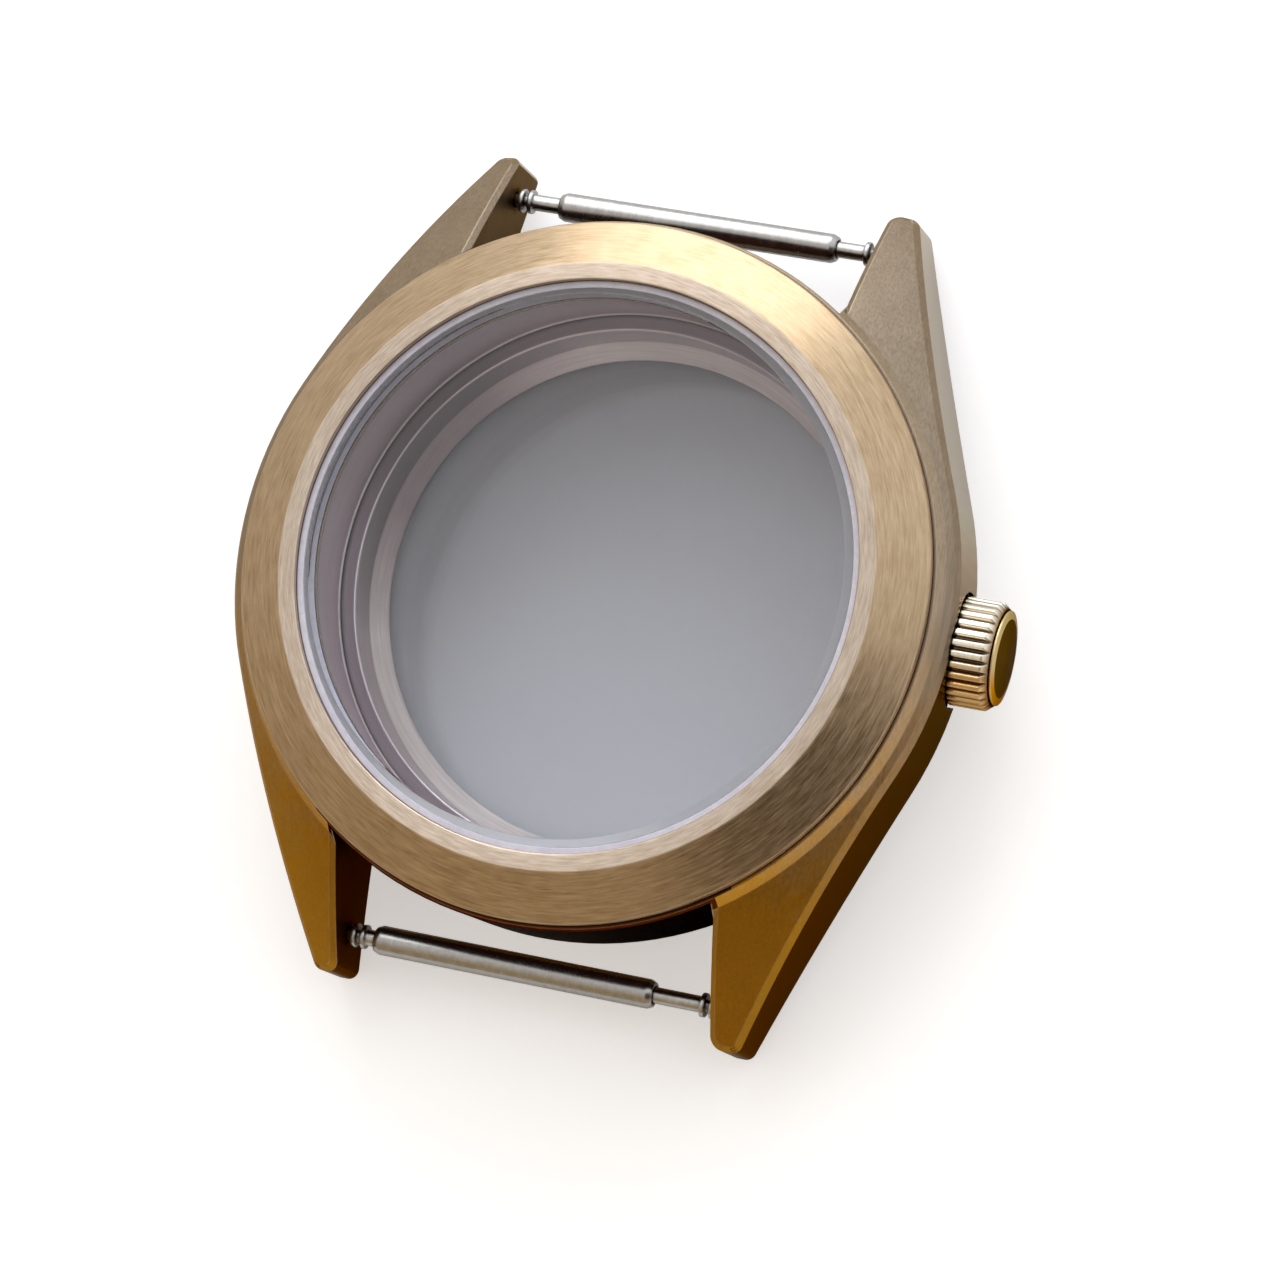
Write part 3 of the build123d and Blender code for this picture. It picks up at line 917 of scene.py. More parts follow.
@dataclass(frozen=True)
class SoftFinish:
    """A moulded nylon or rubber with a fine grain, in screen colours."""

    name: str
    light: Colour
    dark: Colour
    roughness: float
    roughness_swing: float = 0.06
    patch_size: float = 400.0
    grain: float = 6000.0
    bump: float = 0.2
    bump_depth: float = 0.01

    def build(self, effects: Effects) -> Material:
        """Make the material.

        Args:
            effects: The shared node groups.

        Returns:
            The new material.
        """
        material, web, shader, place = new_material(self.name)
        patches = web.group(effects.cloud, Size=self.patch_size, Vector=place)["Mask"]
        fine = web.noise(place, scale=self.grain)
        ends = (self.roughness - self.roughness_swing, self.roughness + self.roughness_swing)
        depth = self.bump_depth * MM
        relief = web.add("ShaderNodeBump", Height=fine, Strength=self.bump, Distance=depth)
        web.fill(
            shader, Base_Color=web.mixed(patches, ink(self.dark), ink(self.light)),
            Roughness=web.ranged(fine, *STREAK_SPAN, *ends), Normal=relief.outputs[0],
        )
        return material


class Wardrobe:
    """Every finish of the case, by the material slot that it stands for."""

    def __init__(self) -> None:
        """Build the node groups and the materials."""
        effects = Effects()
        steel = {
            "worn": (226, 226, 224), "brush": Brush.ROUND_X, "anisotropy": 0.0, "arc": 1.0,
            "bump": 0.02, "lines": 3000.0, "roughness_swing": 0.04,
        }
        stem = {"brush": Brush.ROUND_X, "axis_place": CROWN_SPINDLE.origin}
        bar = {
            "axis_place": BAR_SPINDLES["upper"].origin, "grime_and_shade": (30, 28, 26), "grime_and_shade_reach": 0.3,
        }
        # The dark colours given for grooves and corners are grime and painted shade.
        finishes = (
            # The case metal takes a painted warm reflection towards 6 o'clock.
            MetalFinish(
                "case_metal", (167, 151, 132), (136, 121, 102), (208, 190, 162), Brush.LENGTHWISE,
                roughness=0.36, bump=0.1, warm_reflection=(186, 134, 44), warm_reflection_low=-13.0,
                warm_reflection_high=2.0, tinted=True, polish_roughness=0.22, edge_tint=(0.82, 0.7, 0.54),
                grime_and_shade=(58, 36, 20), grime_and_shade_reach=0.5,
            ),
            MetalFinish(
                "bezel_metal", (228, 204, 174), (180, 154, 122), (240, 224, 196),
                Brush.ROUND_CASE, lines=12000.0, arc=14.0, roughness=0.32, anisotropy=0.65,
                tinted=True, grime_and_shade=(70, 48, 30), grime_and_shade_reach=0.25,
            ),
            MetalFinish(
                "back_metal", (240, 232, 232), (226, 218, 218), (246, 242, 238),
                Brush.ROUND_CASE, lines=8000.0, arc=3.0, roughness_swing=0.04, anisotropy=0.3,
                bump=0.02, tinted=True, polish_roughness=0.2, grime_and_shade=(50, 42, 36),
            ),
            MetalFinish(
                "crown_metal", (244, 222, 172), (232, 204, 148), (255, 244, 214), **stem,
                arc=3.0, roughness=0.16, roughness_swing=0.05, anisotropy=0.0, bump=0.03,
                tinted=True, polish_roughness=0.1, edge_tint=(0.5, 0.43, 0.3),
                grime_and_shade=(58, 34, 12), grime_and_shade_reach=0.3,
            ),
            MetalFinish(
                "tube_metal", (186, 182, 176), (150, 146, 142), (220, 218, 212), **stem,
                arc=2.0, anisotropy=0.0, bump=0.06,
            ),
            MetalFinish("post_steel", (200, 200, 202), (150, 150, 152), **{**steel, **stem}),
            MetalFinish(
                "barrel_steel", (196, 196, 194), (172, 171, 168), roughness=0.24, **steel, **bar
            ),
            MetalFinish(
                "pin_steel", (208, 208, 206), (172, 172, 170), roughness=0.2, **steel, **bar
            ),
            MetalFinish("spring_steel", (176, 178, 182), (140, 142, 146), **steel, **bar),
            GlassFinish("crystal_glass", (0.97, 0.98, 1.0), (0.92, 0.93, 0.95), ground_rim=0.3),
            GlassFinish("back_glass", (0.9, 0.915, 0.945), (0.96, 0.97, 0.98), ior=1.45),
            SoftFinish("crystal_gasket_nylon", (236, 236, 246), (218, 217, 232), 0.42),
            SoftFinish("back_glass_gasket_nylon", (214, 214, 220), (186, 186, 196), 0.42),
            SoftFinish("seal_rubber", (52, 52, 52), (30, 30, 30), 0.6),
        )
        self.materials = {finish.name: finish.build(effects) for finish in finishes}

    def dress(self, piece: Object, slot: str) -> None:
        """Give a piece the material of a slot.

        Args:
            piece: The piece to dress.
            slot: Name of the material slot.
        """
        piece.data.materials.clear()
        piece.data.materials.append(self.materials[slot])


# Sub-assemblies


@dataclass
class SubAssembly:
    """A group of pieces of the case that are turned round one axis."""

    wardrobe: Wardrobe
    spindle: Spindle = CASE_SPINDLE

    def keep(self, piece: Object, body: str, slot: str, *nodes: str) -> None:
        """Dress a piece, set it on its body and let it stand for its solids.

        Args:
            piece: The finished mesh.
            body: Body that it moves with.
            slot: Material slot that it takes its finish from.
            *nodes: Solids that it stands for.
        """
        self.wardrobe.dress(piece, slot)
        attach(piece, body)
        if nodes:
            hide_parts(*nodes)
        LOG.info("%s: %d faces on %s", piece.name, len(piece.data.polygons), body)

    def turn(
        self, node: str, body: str, slot: str, outline: Outline,
        paint: Callable[[Object], None] | None = None, **shape: object,
    ) -> None:
        """Turn the piece that stands for a solid, paint its faces and keep it.

        Args:
            node: Name of the solid.
            body: Body that the piece moves with.
            slot: Material slot that it takes its finish from.
            outline: Corners as (place along the axis, radius).
            paint: Paints its faces.
            **shape: Further arguments of turned().
        """
        piece = turned(f"{node}_dress", self.spindle, outline, **shape)
        if paint is not None:
            paint(piece)
        self.keep(piece, body, slot, node)


@dataclass
class Front(SubAssembly):
    """Bezel, crystal and the gasket between them."""

    height: float = 12.0
    bore: float = 14.4
    ledge: float = 13.77
    ledge_z: float = 9.7
    seat_z: float = 10.2
    crystal_radius: float = 14.1
    crystal_bevel: float = 0.35
    gasket_radius: float = 14.457
    gasket_top: float = 11.65
    # A thin pale sheet on the crystal's seat lightens the shade there: painted light.
    foot_inset: float = 0.03
    foot_thickness: float = 0.02
    flat_radius: float = 15.349
    outer_radius: float = 17.745
    edge_z: float = 10.66
    under_z: float = 10.15
    collar_radius: float = 15.6
    collar_z: float = 9.2
    level: float = 0.97
    # Painted highlight on the flat, painted shade on the cone and painted light inside the bezel.
    flat_highlight_tint: Colour = (1.06, 1.17, 1.41)
    cone_shade_tint: Colour = (0.86, 0.84, 0.78)
    inside_light_tint: Colour = (0.95, 0.98, 1.15)

    def tint_bezel(self, piece: Object) -> None:
        """Tell apart the flat, the cone and the inside of the bezel, and paint light and shade on
        them.

        Formula: a face belongs to the inside where its radius is less than the gasket's
        or where it lies below the cone, and to the flat where its normal points up.

        Args:
            piece: The bezel.
        """
        middle, normal, radius = face_places(piece)
        inside = (radius < self.gasket_radius + HAIR) | (middle[:, 2] < self.under_z + HAIR / 2)
        tint = np.full((len(middle), 3), self.cone_shade_tint)
        tint[normal[:, 2] > self.level] = self.flat_highlight_tint
        tint[inside] = self.inside_light_tint
        paint_faces(piece, tint, inside)

    def grind_rim(self, piece: Object) -> None:
        """Mark the ground rim and bevel of the crystal.

        Args:
            piece: The crystal.
        """
        _, normal, radius = face_places(piece)
        rim = radius > self.crystal_radius - self.crystal_bevel - HAIR
        paint_faces(piece, 1.0, rim & (np.abs(normal[:, 2]) < self.level))

    def build(self) -> None:
        """Make the three pieces and a pale sheet under the crystal, painted light on its seat."""
        bezel = path(
            (self.collar_z, self.bore), self.collar_radius, self.under_z, self.outer_radius,
            self.edge_z, (self.height, self.flat_radius), self.gasket_radius, self.seat_z,
            self.ledge, self.ledge_z, self.bore,
        )
        self.turn("bezel", "case", "bezel_metal", bezel, self.tint_bezel)
        crystal = path(
            (self.seat_z, 0.0), self.crystal_radius, self.height - self.crystal_bevel,
            (self.height, self.crystal_radius - self.crystal_bevel), 0.0,
        )
        self.turn("crystal", "case", "crystal_glass", crystal, self.grind_rim, edge=0.03)
        rest = (self.seat_z, self.crystal_radius)
        gasket = path(rest, self.gasket_radius, self.gasket_top, self.crystal_radius)
        self.turn("crystal_gasket", "case", "crystal_gasket_nylon", gasket, edge=0.06)
        inner, outer = self.ledge + self.foot_inset, self.crystal_radius - self.foot_inset
        outline = path((self.seat_z, inner), outer, self.seat_z + self.foot_thickness, inner)
        foot = turned("crystal_gasket_foot", self.spindle, outline, edge=0.005)
        self.keep(foot, "case", "crystal_gasket_nylon")


@dataclass
class Middle(SubAssembly):
    """The mid case with its lugs, and the thread that the case back screws into."""

    sharp_degrees: float = 12.0
    bore_reach: float = 15.7
    wall_reach: float = 18.3
    flank_radius: float = 18.83
    gap_reach: float = 10.35
    flat_rise: float = 0.4
    sideways: float = 0.9
    thread_foot: float = 2.15
    thread_top: float = 4.4
    thread_root: float = 15.38
    thread_wall: float = 0.02
    thread: Thread = Thread(0.05, high=15.39)
    lining_foot: float = 4.52
    lining_step: float = 4.58
    lining_top: float = 9.18
    lining_radius: float = 14.4
    lining_wall: float = 0.03
    lining_edge: float = 0.06
    lining_bead: float = 0.05
    # Painted light: the lining and the bead at its foot are lightened.
    lining_light_tint: Colour = (1.08, 0.97, 0.99)
    lining_bead_light_tint: Colour = (1.05, 1.04, 1.04)
    # Painted shade towards 6 o'clock and painted highlight towards 12 o'clock on the flanks.
    low_flank_shade_tint: Colour = (0.5, 0.47, 0.45)
    upper_flank_highlight_tint: Colour = (1.5, 1.55, 1.7)
    flank_turn: float = 10.0
    flank_share: float = 0.3
    # Painted shade: the lugs' inner faces, most towards 6 o'clock, and the wall between the lugs.
    lower_inner_shade_tint: Colour = (0.4, 0.38, 0.3)
    upper_inner_shade_tint: Colour = (0.62, 0.58, 0.55)
    wall_shade_tint: Colour = (0.06, 0.02, 0.015)
    # Painted light: the bore and the thread are lightened.
    bore_tint: Colour = (1.05, 1.15, 1.45)
    # Painted shade: the recess round the crown's foot.
    recess_shade_tint: Colour = (0.08, 0.04, 0.03)
    recess_reach: float = 2.96
    recess_floor: float = 18.28
    # Painted shade on the underside. The rim is a painted highlight, with painted shade towards 6
    # o'clock.
    underside_shade_tint: Colour = (0.8, 0.75, 0.7)
    rim_highlight_tint: Colour = (1.4, 1.42, 1.45)
    rim_outer: float = 18.26
    rim_low: float = 9.3
    rim_shade: Colour = (0.25, 0.12, 0.07)

    def tint(self, piece: Object) -> None:
        """Tell the polished flanks, the lugs' inner faces and the bore from the brushed front, and
        paint light and shade on them.

        Formula: a face is front or underside by the height of its normal, and otherwise
        flank, inner face, wall or bore by its place. The flanks are darker towards 6 o'clock
        and lighter towards 12 o'clock, as painted shade and painted highlight. The inner faces
        are darkened as painted shade, most towards 6 o'clock, and so are the wall, the underside
        and the recess round the crown's foot. The rim is lightened as a painted highlight but
        darkened towards 6 o'clock as painted shade, and the bore is lightened as painted light.

        Args:
            piece: The mid case.
        """
        middle, normal, radius = face_places(piece)
        x, y, z = middle.T
        upright = np.abs(normal[:, 2]) < self.flat_rise
        in_gap = np.abs(x) < self.gap_reach
        bore = radius < self.bore_reach
        wall = upright & in_gap & (radius < self.wall_reach) & ~bore
        inner = in_gap & (np.abs(normal[:, 0]) > self.sideways) & (radius > self.bore_reach)
        flank = upright & ~bore & ~wall & ~inner
        tint = np.ones((len(middle), 3))
        rim = (z > self.rim_low) & (radius < self.rim_outer)
        tint[rim] = self.rim_highlight_tint
        tint[rim & in_gap & (y < 0)] = self.rim_shade
        tint[(normal[:, 2] < -self.flat_rise) & ~bore] = self.underside_shade_tint
        tint[bore] = self.bore_tint
        tint[wall] = self.wall_shade_tint
        tint[inner & (y < 0)] = self.lower_inner_shade_tint
        tint[inner & (y >= 0)] = self.upper_inner_shade_tint
        rise = np.clip(middle[flank, 1:2] / self.flank_turn + self.flank_share, 0.0, 1.0)
        tint[flank] = blend(rise, self.low_flank_shade_tint, self.upper_flank_highlight_tint)
        near_crown = np.hypot(y, z - CROWN_SPINDLE.origin[2]) < self.recess_reach
        recess = (x > self.recess_floor) & near_crown & (radius < self.flank_radius - HAIR)
        tint[recess] = self.recess_shade_tint
        paint_faces(piece, tint, (flank & ~recess) | bore)

    def build(self) -> None:
        """Make the mid case, its inner thread and the lining of its bore."""
        middle = smooth_copy("mid_case_dress", "mid_case", self.sharp_degrees)
        self.tint(middle)
        self.keep(middle, "case", "case_metal", "mid_case")
        root = self.thread_root
        outline = path((self.thread_foot, root), root + self.thread_wall, self.thread_top, root)
        thread = turned(
            "case_thread", self.spindle, outline, edge=0.005, segments=THREAD_STEPS,
            displace=self.thread.cut, fine=0.06,
        )
        # The thread takes the bore's painted light.
        paint_faces(thread, self.bore_tint, 1.0)
        self.keep(thread, "case", "case_metal")
        self.build_lining()

    def build_lining(self) -> None:
        """Line the bore with its turned wall and the bead at its foot, both lightened as painted
        light.
        """
        face = self.lining_radius - self.lining_wall
        bead = face - self.lining_bead
        edge_z = self.lining_step + self.lining_edge
        outline = path(
            (self.lining_foot, self.lining_radius), (self.lining_top, self.lining_radius),
            face, edge_z, (self.lining_step, bead), (self.lining_foot, bead),
        )
        lining = turned("case_bore_lining", self.spindle, outline, edge=0.003)
        height = face_places(lining)[0][:, 2:]
        tint = np.where(height < edge_z, self.lining_bead_light_tint, self.lining_light_tint)
        paint_faces(lining, tint, 0.0)
        self.keep(lining, "case", "back_metal")


@dataclass
class CaseBack(SubAssembly):
    """Screwed case back with its window, its seals and its key notches."""

    flange_radius: float = 16.6
    flange_z: float = 1.5
    edge_bevel: float = 0.45
    neck_radius: float = 15.3
    neck_top: float = 4.35
    neck_bore: float = 13.55
    neck_bevel: float = 0.1
    sight_radius: float = 12.73
    sight_z: float = 1.3
    sight_top: float = 2.15
    glass_radius: float = 13.2
    glass_z: float = 1.1
    glass_bevel: float = 0.15
    seat_radius: float = 13.5
    recess_z: float = 0.15
    seal_radius: float = 16.0
    seal_bore: float = 15.4
    seal_top: float = 2.0
    thread: Thread = Thread(0.16, start=2.2, end=4.15, low=15.28)
    notch_count: int = 6
    notch_half_width: float = 1.2
    notch_floor: float = 15.4
    notch_top: float = 0.7
    notch_step: float = 0.001
    level: float = 0.9
    ring_tint: Colour = (0.92, 0.92, 0.92)
    top_tint: Colour = (0.3, 0.28, 0.32)
    bore_tint: Colour = (0.95, 0.9, 0.92)
    # Painted light on the sight bevel. Painted shade on it and on the neck's bore towards one
    # side.
    sight_light_tint: Colour = (1.12, 1.14, 1.1)
    sight_shade_tint: Colour = (0.52, 0.48, 0.5)
    sight_shade_way: tuple[float, float] = (-0.9, 0.44)
    sight_shade_start: float = 0.72
    sight_shade_length: float = 0.25
    sight_polish: float = -1.5
    bore_shade: float = 0.5

    def cut(self, along: Array, radius: Array, angle: Array) -> Array:
        """Cut the key notches and the thread into the ring.

        Formula: inside a notch's angle and below its roof the radius is at most the notch
        floor.

        Args:
            along: Heights of the points.
            radius: Radii of the points.
            angle: Angles of the points.

        Returns:
            The new radii.
        """
        step = FULL_TURN / self.notch_count
        off_centre = np.abs((angle + step / 2) % step - step / 2) * self.flange_radius
        inside = (off_centre < self.notch_half_width) & (along < self.notch_top)
        notched = np.where(inside & (radius > self.notch_floor), self.notch_floor, radius)
        return self.thread.cut(along, notched, angle)

    def tint_ring(self, piece: Object) -> None:
        """Tell the neck's top and bore and the sight bevel of the ring apart.

        Formula: a face belongs to the sight bevel between its two radii and heights, to
        the neck's bore inside the neck, and to its top where it lies highest. The sight
        bevel is lightened as painted light, and the sight bevel and the bore are darker towards
        one side, by the cosine of the angle from it, as painted shade.

        Args:
            piece: The ring.
        """
        middle, normal, radius = face_places(piece)
        x, y, z = middle.T
        sight = (radius < self.neck_bore - HAIR / 2) & (z < self.sight_top)
        bore = (np.abs(radius - self.neck_bore) < HAIR) & (z > self.sight_top)
        top = (z > self.neck_top - HAIR / 2) & (normal[:, 2] > self.level)
        tint = np.full((len(middle), 3), self.ring_tint)
        tint[top] = self.top_tint
        toward = (x * self.sight_shade_way[0] + y * self.sight_shade_way[1]) / radius
        dark = np.clip((toward - self.sight_shade_start) / self.sight_shade_length, 0.0, 1.0)
        dark = dark[:, None]
        tint[bore] = self.bore_tint * (1.0 - self.bore_shade * dark[bore])
        tint[sight] = blend(dark, self.sight_light_tint, self.sight_shade_tint)[sight]
        paint_faces(piece, tint, np.where(sight, self.sight_polish, 0.0))

    def build(self) -> None:
        """Make the four pieces."""
        ring = path(
            (0.0, self.seat_radius), self.flange_radius - self.edge_bevel,
            (self.edge_bevel, self.flange_radius),
            (self.notch_top - self.notch_step, self.flange_radius),
            (self.notch_top + self.notch_step, self.flange_radius),
            (self.flange_z, self.flange_radius), self.neck_radius, self.neck_top,
            self.neck_bore + self.neck_bevel, (self.neck_top - self.neck_bevel, self.neck_bore),
            (self.sight_top, self.neck_bore), (self.sight_z, self.sight_radius),
            (self.glass_z, self.sight_radius), self.seat_radius,
        )
        glass = path(
            (0.0, 0.0), self.glass_radius - self.glass_bevel,
            (self.glass_bevel, self.glass_radius), (self.glass_z, self.glass_radius), 0.0,
        )
        rest = (self.recess_z, self.glass_radius)
        glass_seal = path(rest, self.seat_radius, self.glass_z, self.glass_radius)
        seal = path(
            (self.flange_z, self.seal_bore), self.seal_radius, self.seal_top, self.seal_bore
        )
        shape = {"paint": self.tint_ring, "edge": 0.04, "displace": self.cut, "fine": 0.06}
        nylon = "back_glass_gasket_nylon"
        for name, slot, outline, options in (
            ("ring", "back_metal", ring, shape),
            ("glass", "back_glass", glass, {"edge": 0.03}),
            ("glass_gasket", nylon, glass_seal, {"edge": 0.06, "segments": SEAL_STEPS}),
            ("gasket", "seal_rubber", seal, {"edge": 0.2, "segments": SEAL_STEPS}),
        ):
            self.turn(f"case_back_{name}", "case_back", slot, outline, **options)


@dataclass
class ScrewDownCrown(SubAssembly):
    """Fluted crown with its tube, post, spring, bush and seals."""

    base_x: float = 18.46
    face_x: float = 21.0
    cavity_end_x: float = 20.3
    pipe_x: float = 16.2
    pipe_end_x: float = 20.6
    bush_end_x: float = 16.7
    radius: float = 2.73
    root_radius: float = 2.45
    rim_radius: float = 2.39
    face_radius: float = 1.97
    cavity_radius: float = 1.85
    pipe_radius: float = 1.12
    pipe_bore: float = 0.84
    bevel_x: float = 20.35
    bevel_end_x: float = 20.7
    groove_width: float = 0.07
    groove_depth: float = 0.12
    end_bevel: float = 0.14
    base_bevel: float = 0.12
    dome: float = 0.06
    tube_inner_x: float = 15.5
    recess_x: float = 18.3
    tube_outer_x: float = 20.05
    tube_bevel: float = 0.12
    tube_body: float = 1.55
    tube_head: float = 1.75
    passage: float = 1.18
    ring_x: float = 18.37
    ring_end_x: float = 18.92
    ring_groove: float = 1.4
    ring_bore: float = 1.15
    seal_bore: float = 1.25
    bush_bore: float = 0.66
    socket: float = 0.45
    socket_end_x: float = 17.6
    shank: float = 0.62
    shank_bevel: float = 0.1
    post_head: float = 0.8
    post_inner_x: float = 15.6
    post_head_x: float = 17.9
    post_end_x: float = 18.7
    spring_radius: float = 0.61
    wire_radius: float = 0.1
    spring_play: float = 0.02
    thread: Thread = Thread(0.07, start=18.5, end=19.85, low=1.73)
    flutes: int = 30
    flute_steps: int = 20
    flute_slope: float = 2.33
    end_level: float = 0.95
    rim_width: float = 0.05
    turns: float = 6.0
    valley: float = 0.02
    # Painted light and shade: a dark reflection on the face, highlights on the end and crests,
    # shade in the valleys, a warm reflection towards 6 o'clock.
    face_dark_reflection_tint: Colour = (0.43, 0.41, 0.5)
    end_highlight_tint: Colour = (1.05, 1.05, 1.0)
    crest_highlight_tint: Colour = (1.1, 1.32, 2.05)
    crest_share: float = 0.7
    valley_shade_tint: Colour = (0.34, 0.22, 0.11)
    low_warm_reflection_tint: Colour = (0.92, 0.64, 0.34)
    low_y: float = -0.8
    low_length: float = 0.9

    def flute(self, along: Array, radius: Array, angle: Array) -> Array:
        """Cut the flutes: a V whose flanks rise from the root circle.

        Formula: the radius is at most the root radius plus the slope times the distance
        from the middle of the flute, with a small hollow at its foot.

        Args:
            along: Places along the crown.
            radius: Radii of the turned blank.
            angle: Angles of the points.

        Returns:
            The radii with the flutes cut.
        """
        step = FULL_TURN / self.flutes
        aside = ((angle + step / 2) % step - step / 2) * self.root_radius
        flank = self.root_radius + self.flute_slope * (np.hypot(aside, self.valley) - self.valley)
        outside = (radius > self.root_radius - HAIR / 4) & (along < self.bevel_end_x + HAIR / 4)
        return np.where(outside, np.minimum(radius, flank), radius)

    def tint_face(self, piece: Object) -> None:
        """Tell the polished end of the crown, its crests and its valleys apart.

        Formula: the tint runs from the valleys' to the crests' with the radius, as painted
        shade in the valleys and a painted highlight on the crests, and a face belongs to the
        end where it lies past the bevel, lightened as a painted highlight and darker within the
        face's radius as a painted dark reflection. Towards 6 o'clock every tint but that one
        grows warmer, as a painted warm reflection.

        Args:
            piece: The crown.
        """
        middle, normal, _ = face_places(piece)
        radius = np.hypot(middle[:, 1], middle[:, 2] - self.spindle.origin[2])
        crest = self.crest_share * (self.radius - self.root_radius)
        rise = np.clip((radius - self.root_radius) / crest, 0.0, 1.0)[:, None]
        tint = blend(rise, self.valley_shade_tint, self.crest_highlight_tint)
        end = (middle[:, 0] > self.face_x - self.end_bevel) & (normal[:, 0] > self.end_level)
        rim = (middle[:, 0] > self.bevel_end_x) & (radius > self.rim_radius - self.rim_width)
        tint[rim | end] = self.end_highlight_tint
        face = end & (radius < self.face_radius)
        tint[face] = self.face_dark_reflection_tint
        low = np.clip((self.low_y - middle[:, 1:2]) / self.low_length, 0.0, 1.0)
        low[face] = 0.0
        paint_faces(piece, tint * (1.0 - low * (1.0 - np.array(self.low_warm_reflection_tint))), end)

    def build(self) -> None:
        """Make the crown, its tube and what is inside."""
        groove_x = self.bevel_end_x + self.groove_width
        crown = path(
            (self.face_x - self.end_bevel, self.rim_radius), (groove_x, self.rim_radius),
            self.rim_radius - self.groove_depth, self.bevel_end_x, self.root_radius,
            (self.bevel_x, self.radius), (self.base_x + self.base_bevel, self.radius),
            (self.base_x, self.radius - self.base_bevel), self.cavity_radius,
            self.cavity_end_x, self.pipe_radius, self.pipe_x, self.pipe_bore,
            self.pipe_end_x, 0.0, self.face_x, (self.face_x - self.dome, self.face_radius),
        )
        self.turn(
            "crown", "crown", "crown_metal", crown, self.tint_face, edge=0.035,
            segments=self.flutes * self.flute_steps, displace=self.flute, fine=0.08,
        )
        tube = path(
            (self.tube_inner_x, self.passage), self.tube_body, self.recess_x, self.tube_head,
            self.tube_outer_x - self.tube_bevel,
            (self.tube_outer_x, self.tube_head - self.tube_bevel), self.passage,
            self.ring_end_x, self.ring_groove, self.ring_x, self.passage,
        )
        ring = path(
            (self.ring_x, self.ring_bore), self.ring_groove, self.ring_end_x, self.ring_bore
        )
        seal = path(
            (self.tube_outer_x, self.seal_bore), self.cavity_radius, self.cavity_end_x,
            self.seal_bore,
        )
        bush = path((self.pipe_x, self.bush_bore), self.pipe_bore, self.bush_end_x, self.bush_bore)
        post = path(
            (self.post_inner_x, self.socket), self.shank - self.shank_bevel,
            (self.post_inner_x + self.shank_bevel, self.shank), (self.post_head_x, self.shank),
            self.post_head, self.post_end_x, 0.0, self.socket_end_x, self.socket,
        )
        cut = {"segments": BAR_STEPS, "displace": self.thread.cut, "fine": 0.05}
        small = {"segments": SMALL_STEPS}
        for name, body, slot, outline, edge, shape in (
            ("tube", "case", "tube_metal", tube, 0.03, cut),
            ("tube_ring", "case", "seal_rubber", ring, 0.12, small),
            ("gasket", "crown", "seal_rubber", seal, 0.06, small),
            ("bush", "crown", "tube_metal", bush, 0.03, small),
            ("post", "crown_post", "post_steel", post, 0.03, small),
        ):
            self.turn(f"crown_{name}", body, slot, outline, edge=edge, **shape)
        spring = coil(
            "crown_spring_dress", self.spindle, self.post_end_x + self.spring_play,
            self.pipe_end_x - self.spring_play, mean_radius=self.spring_radius,
            wire_radius=self.wire_radius, turns=self.turns, sides=10, steps_per_turn=40,
        )
        self.keep(spring, "crown", "spring_steel", "crown_spring")


@dataclass
class SpringBar(SubAssembly):
    """One spring bar: a crimped barrel, two flanged pins and the spring between them."""

    name: str = "upper"
    shift: float = 0.0
    half: float = 7.5
    barrel_radius: float = 0.75
    crimp_radius: float = 0.62
    crimp_length: float = 0.3
    mouth_radius: float = 0.46
    bore_radius: float = 0.57
    head_x: float = 5.5
    head_end_x: float = 6.1
    head_radius: float = 0.53
    shoulder: float = 0.42
    flange: float = 0.62
    flange_width: float = 0.26
    flange_x: float = 9.75
    flange_step: float = 0.5
    neck: float = 0.3
    tip: float = 0.38
    tip_bevel: float = 0.12
    end_x: float = 11.0
    coil_radius: float = 0.41
    wire_radius: float = 0.075
    spring_play: float = 0.02
    turns: float = 18.0
    left_press: float = 1.4
    right_press: float = 1.4

    def build(self) -> None:
        """Make the pieces of the bar, with its spring in two halves that the pins press."""
        node, barrel = f"{self.name}_bar", f"{self.name}_barrel"
        crimp = self.half - self.crimp_length
        right = path(
            (crimp, self.barrel_radius), (self.half, self.crimp_radius), self.mouth_radius,
            crimp, self.bore_radius,
        )
        left = [(-along, radius) for along, radius in reversed(right)]
        outline = [(along + self.shift, radius) for along, radius in right + left]
        shape = {"edge": 0.06, "segments": BAR_STEPS}
        self.turn(f"{node}_barrel", barrel, "barrel_steel", outline, **shape)
        inner = self.flange_x - self.flange_step
        pin = path(
            (self.head_x, 0.0), self.head_radius, self.head_end_x, self.shoulder,
            inner - self.flange_width, self.flange, inner, self.neck,
            self.flange_x - self.flange_width, self.flange, self.flange_x, self.tip,
            self.end_x - self.tip_bevel, (self.end_x, self.tip - self.tip_bevel), 0.0,
        )
        shape = {"edge": 0.07, "segments": SMALL_STEPS}
        for way, side in (("left", -1), ("right", 1)):
            outline = [(side * along, radius) for along, radius in pin]
            body = f"{self.name}_{way}_pin"
            self.turn(f"{node}_{way}_pin", body, "pin_steel", outline, **shape)
        reach = self.head_x - self.spring_play
        for way, start, end, press in (
            ("left", -reach, 0.0, self.left_press), ("right", 0.0, reach, self.right_press),
        ):
            spring = coil(
                f"{node}_{way}_spring_dress", self.spindle, start, end,
                mean_radius=self.coil_radius, wire_radius=self.wire_radius, turns=self.turns,
            )
            self.keep(spring, barrel, "spring_steel", f"{node}_spring")
            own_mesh(spring)


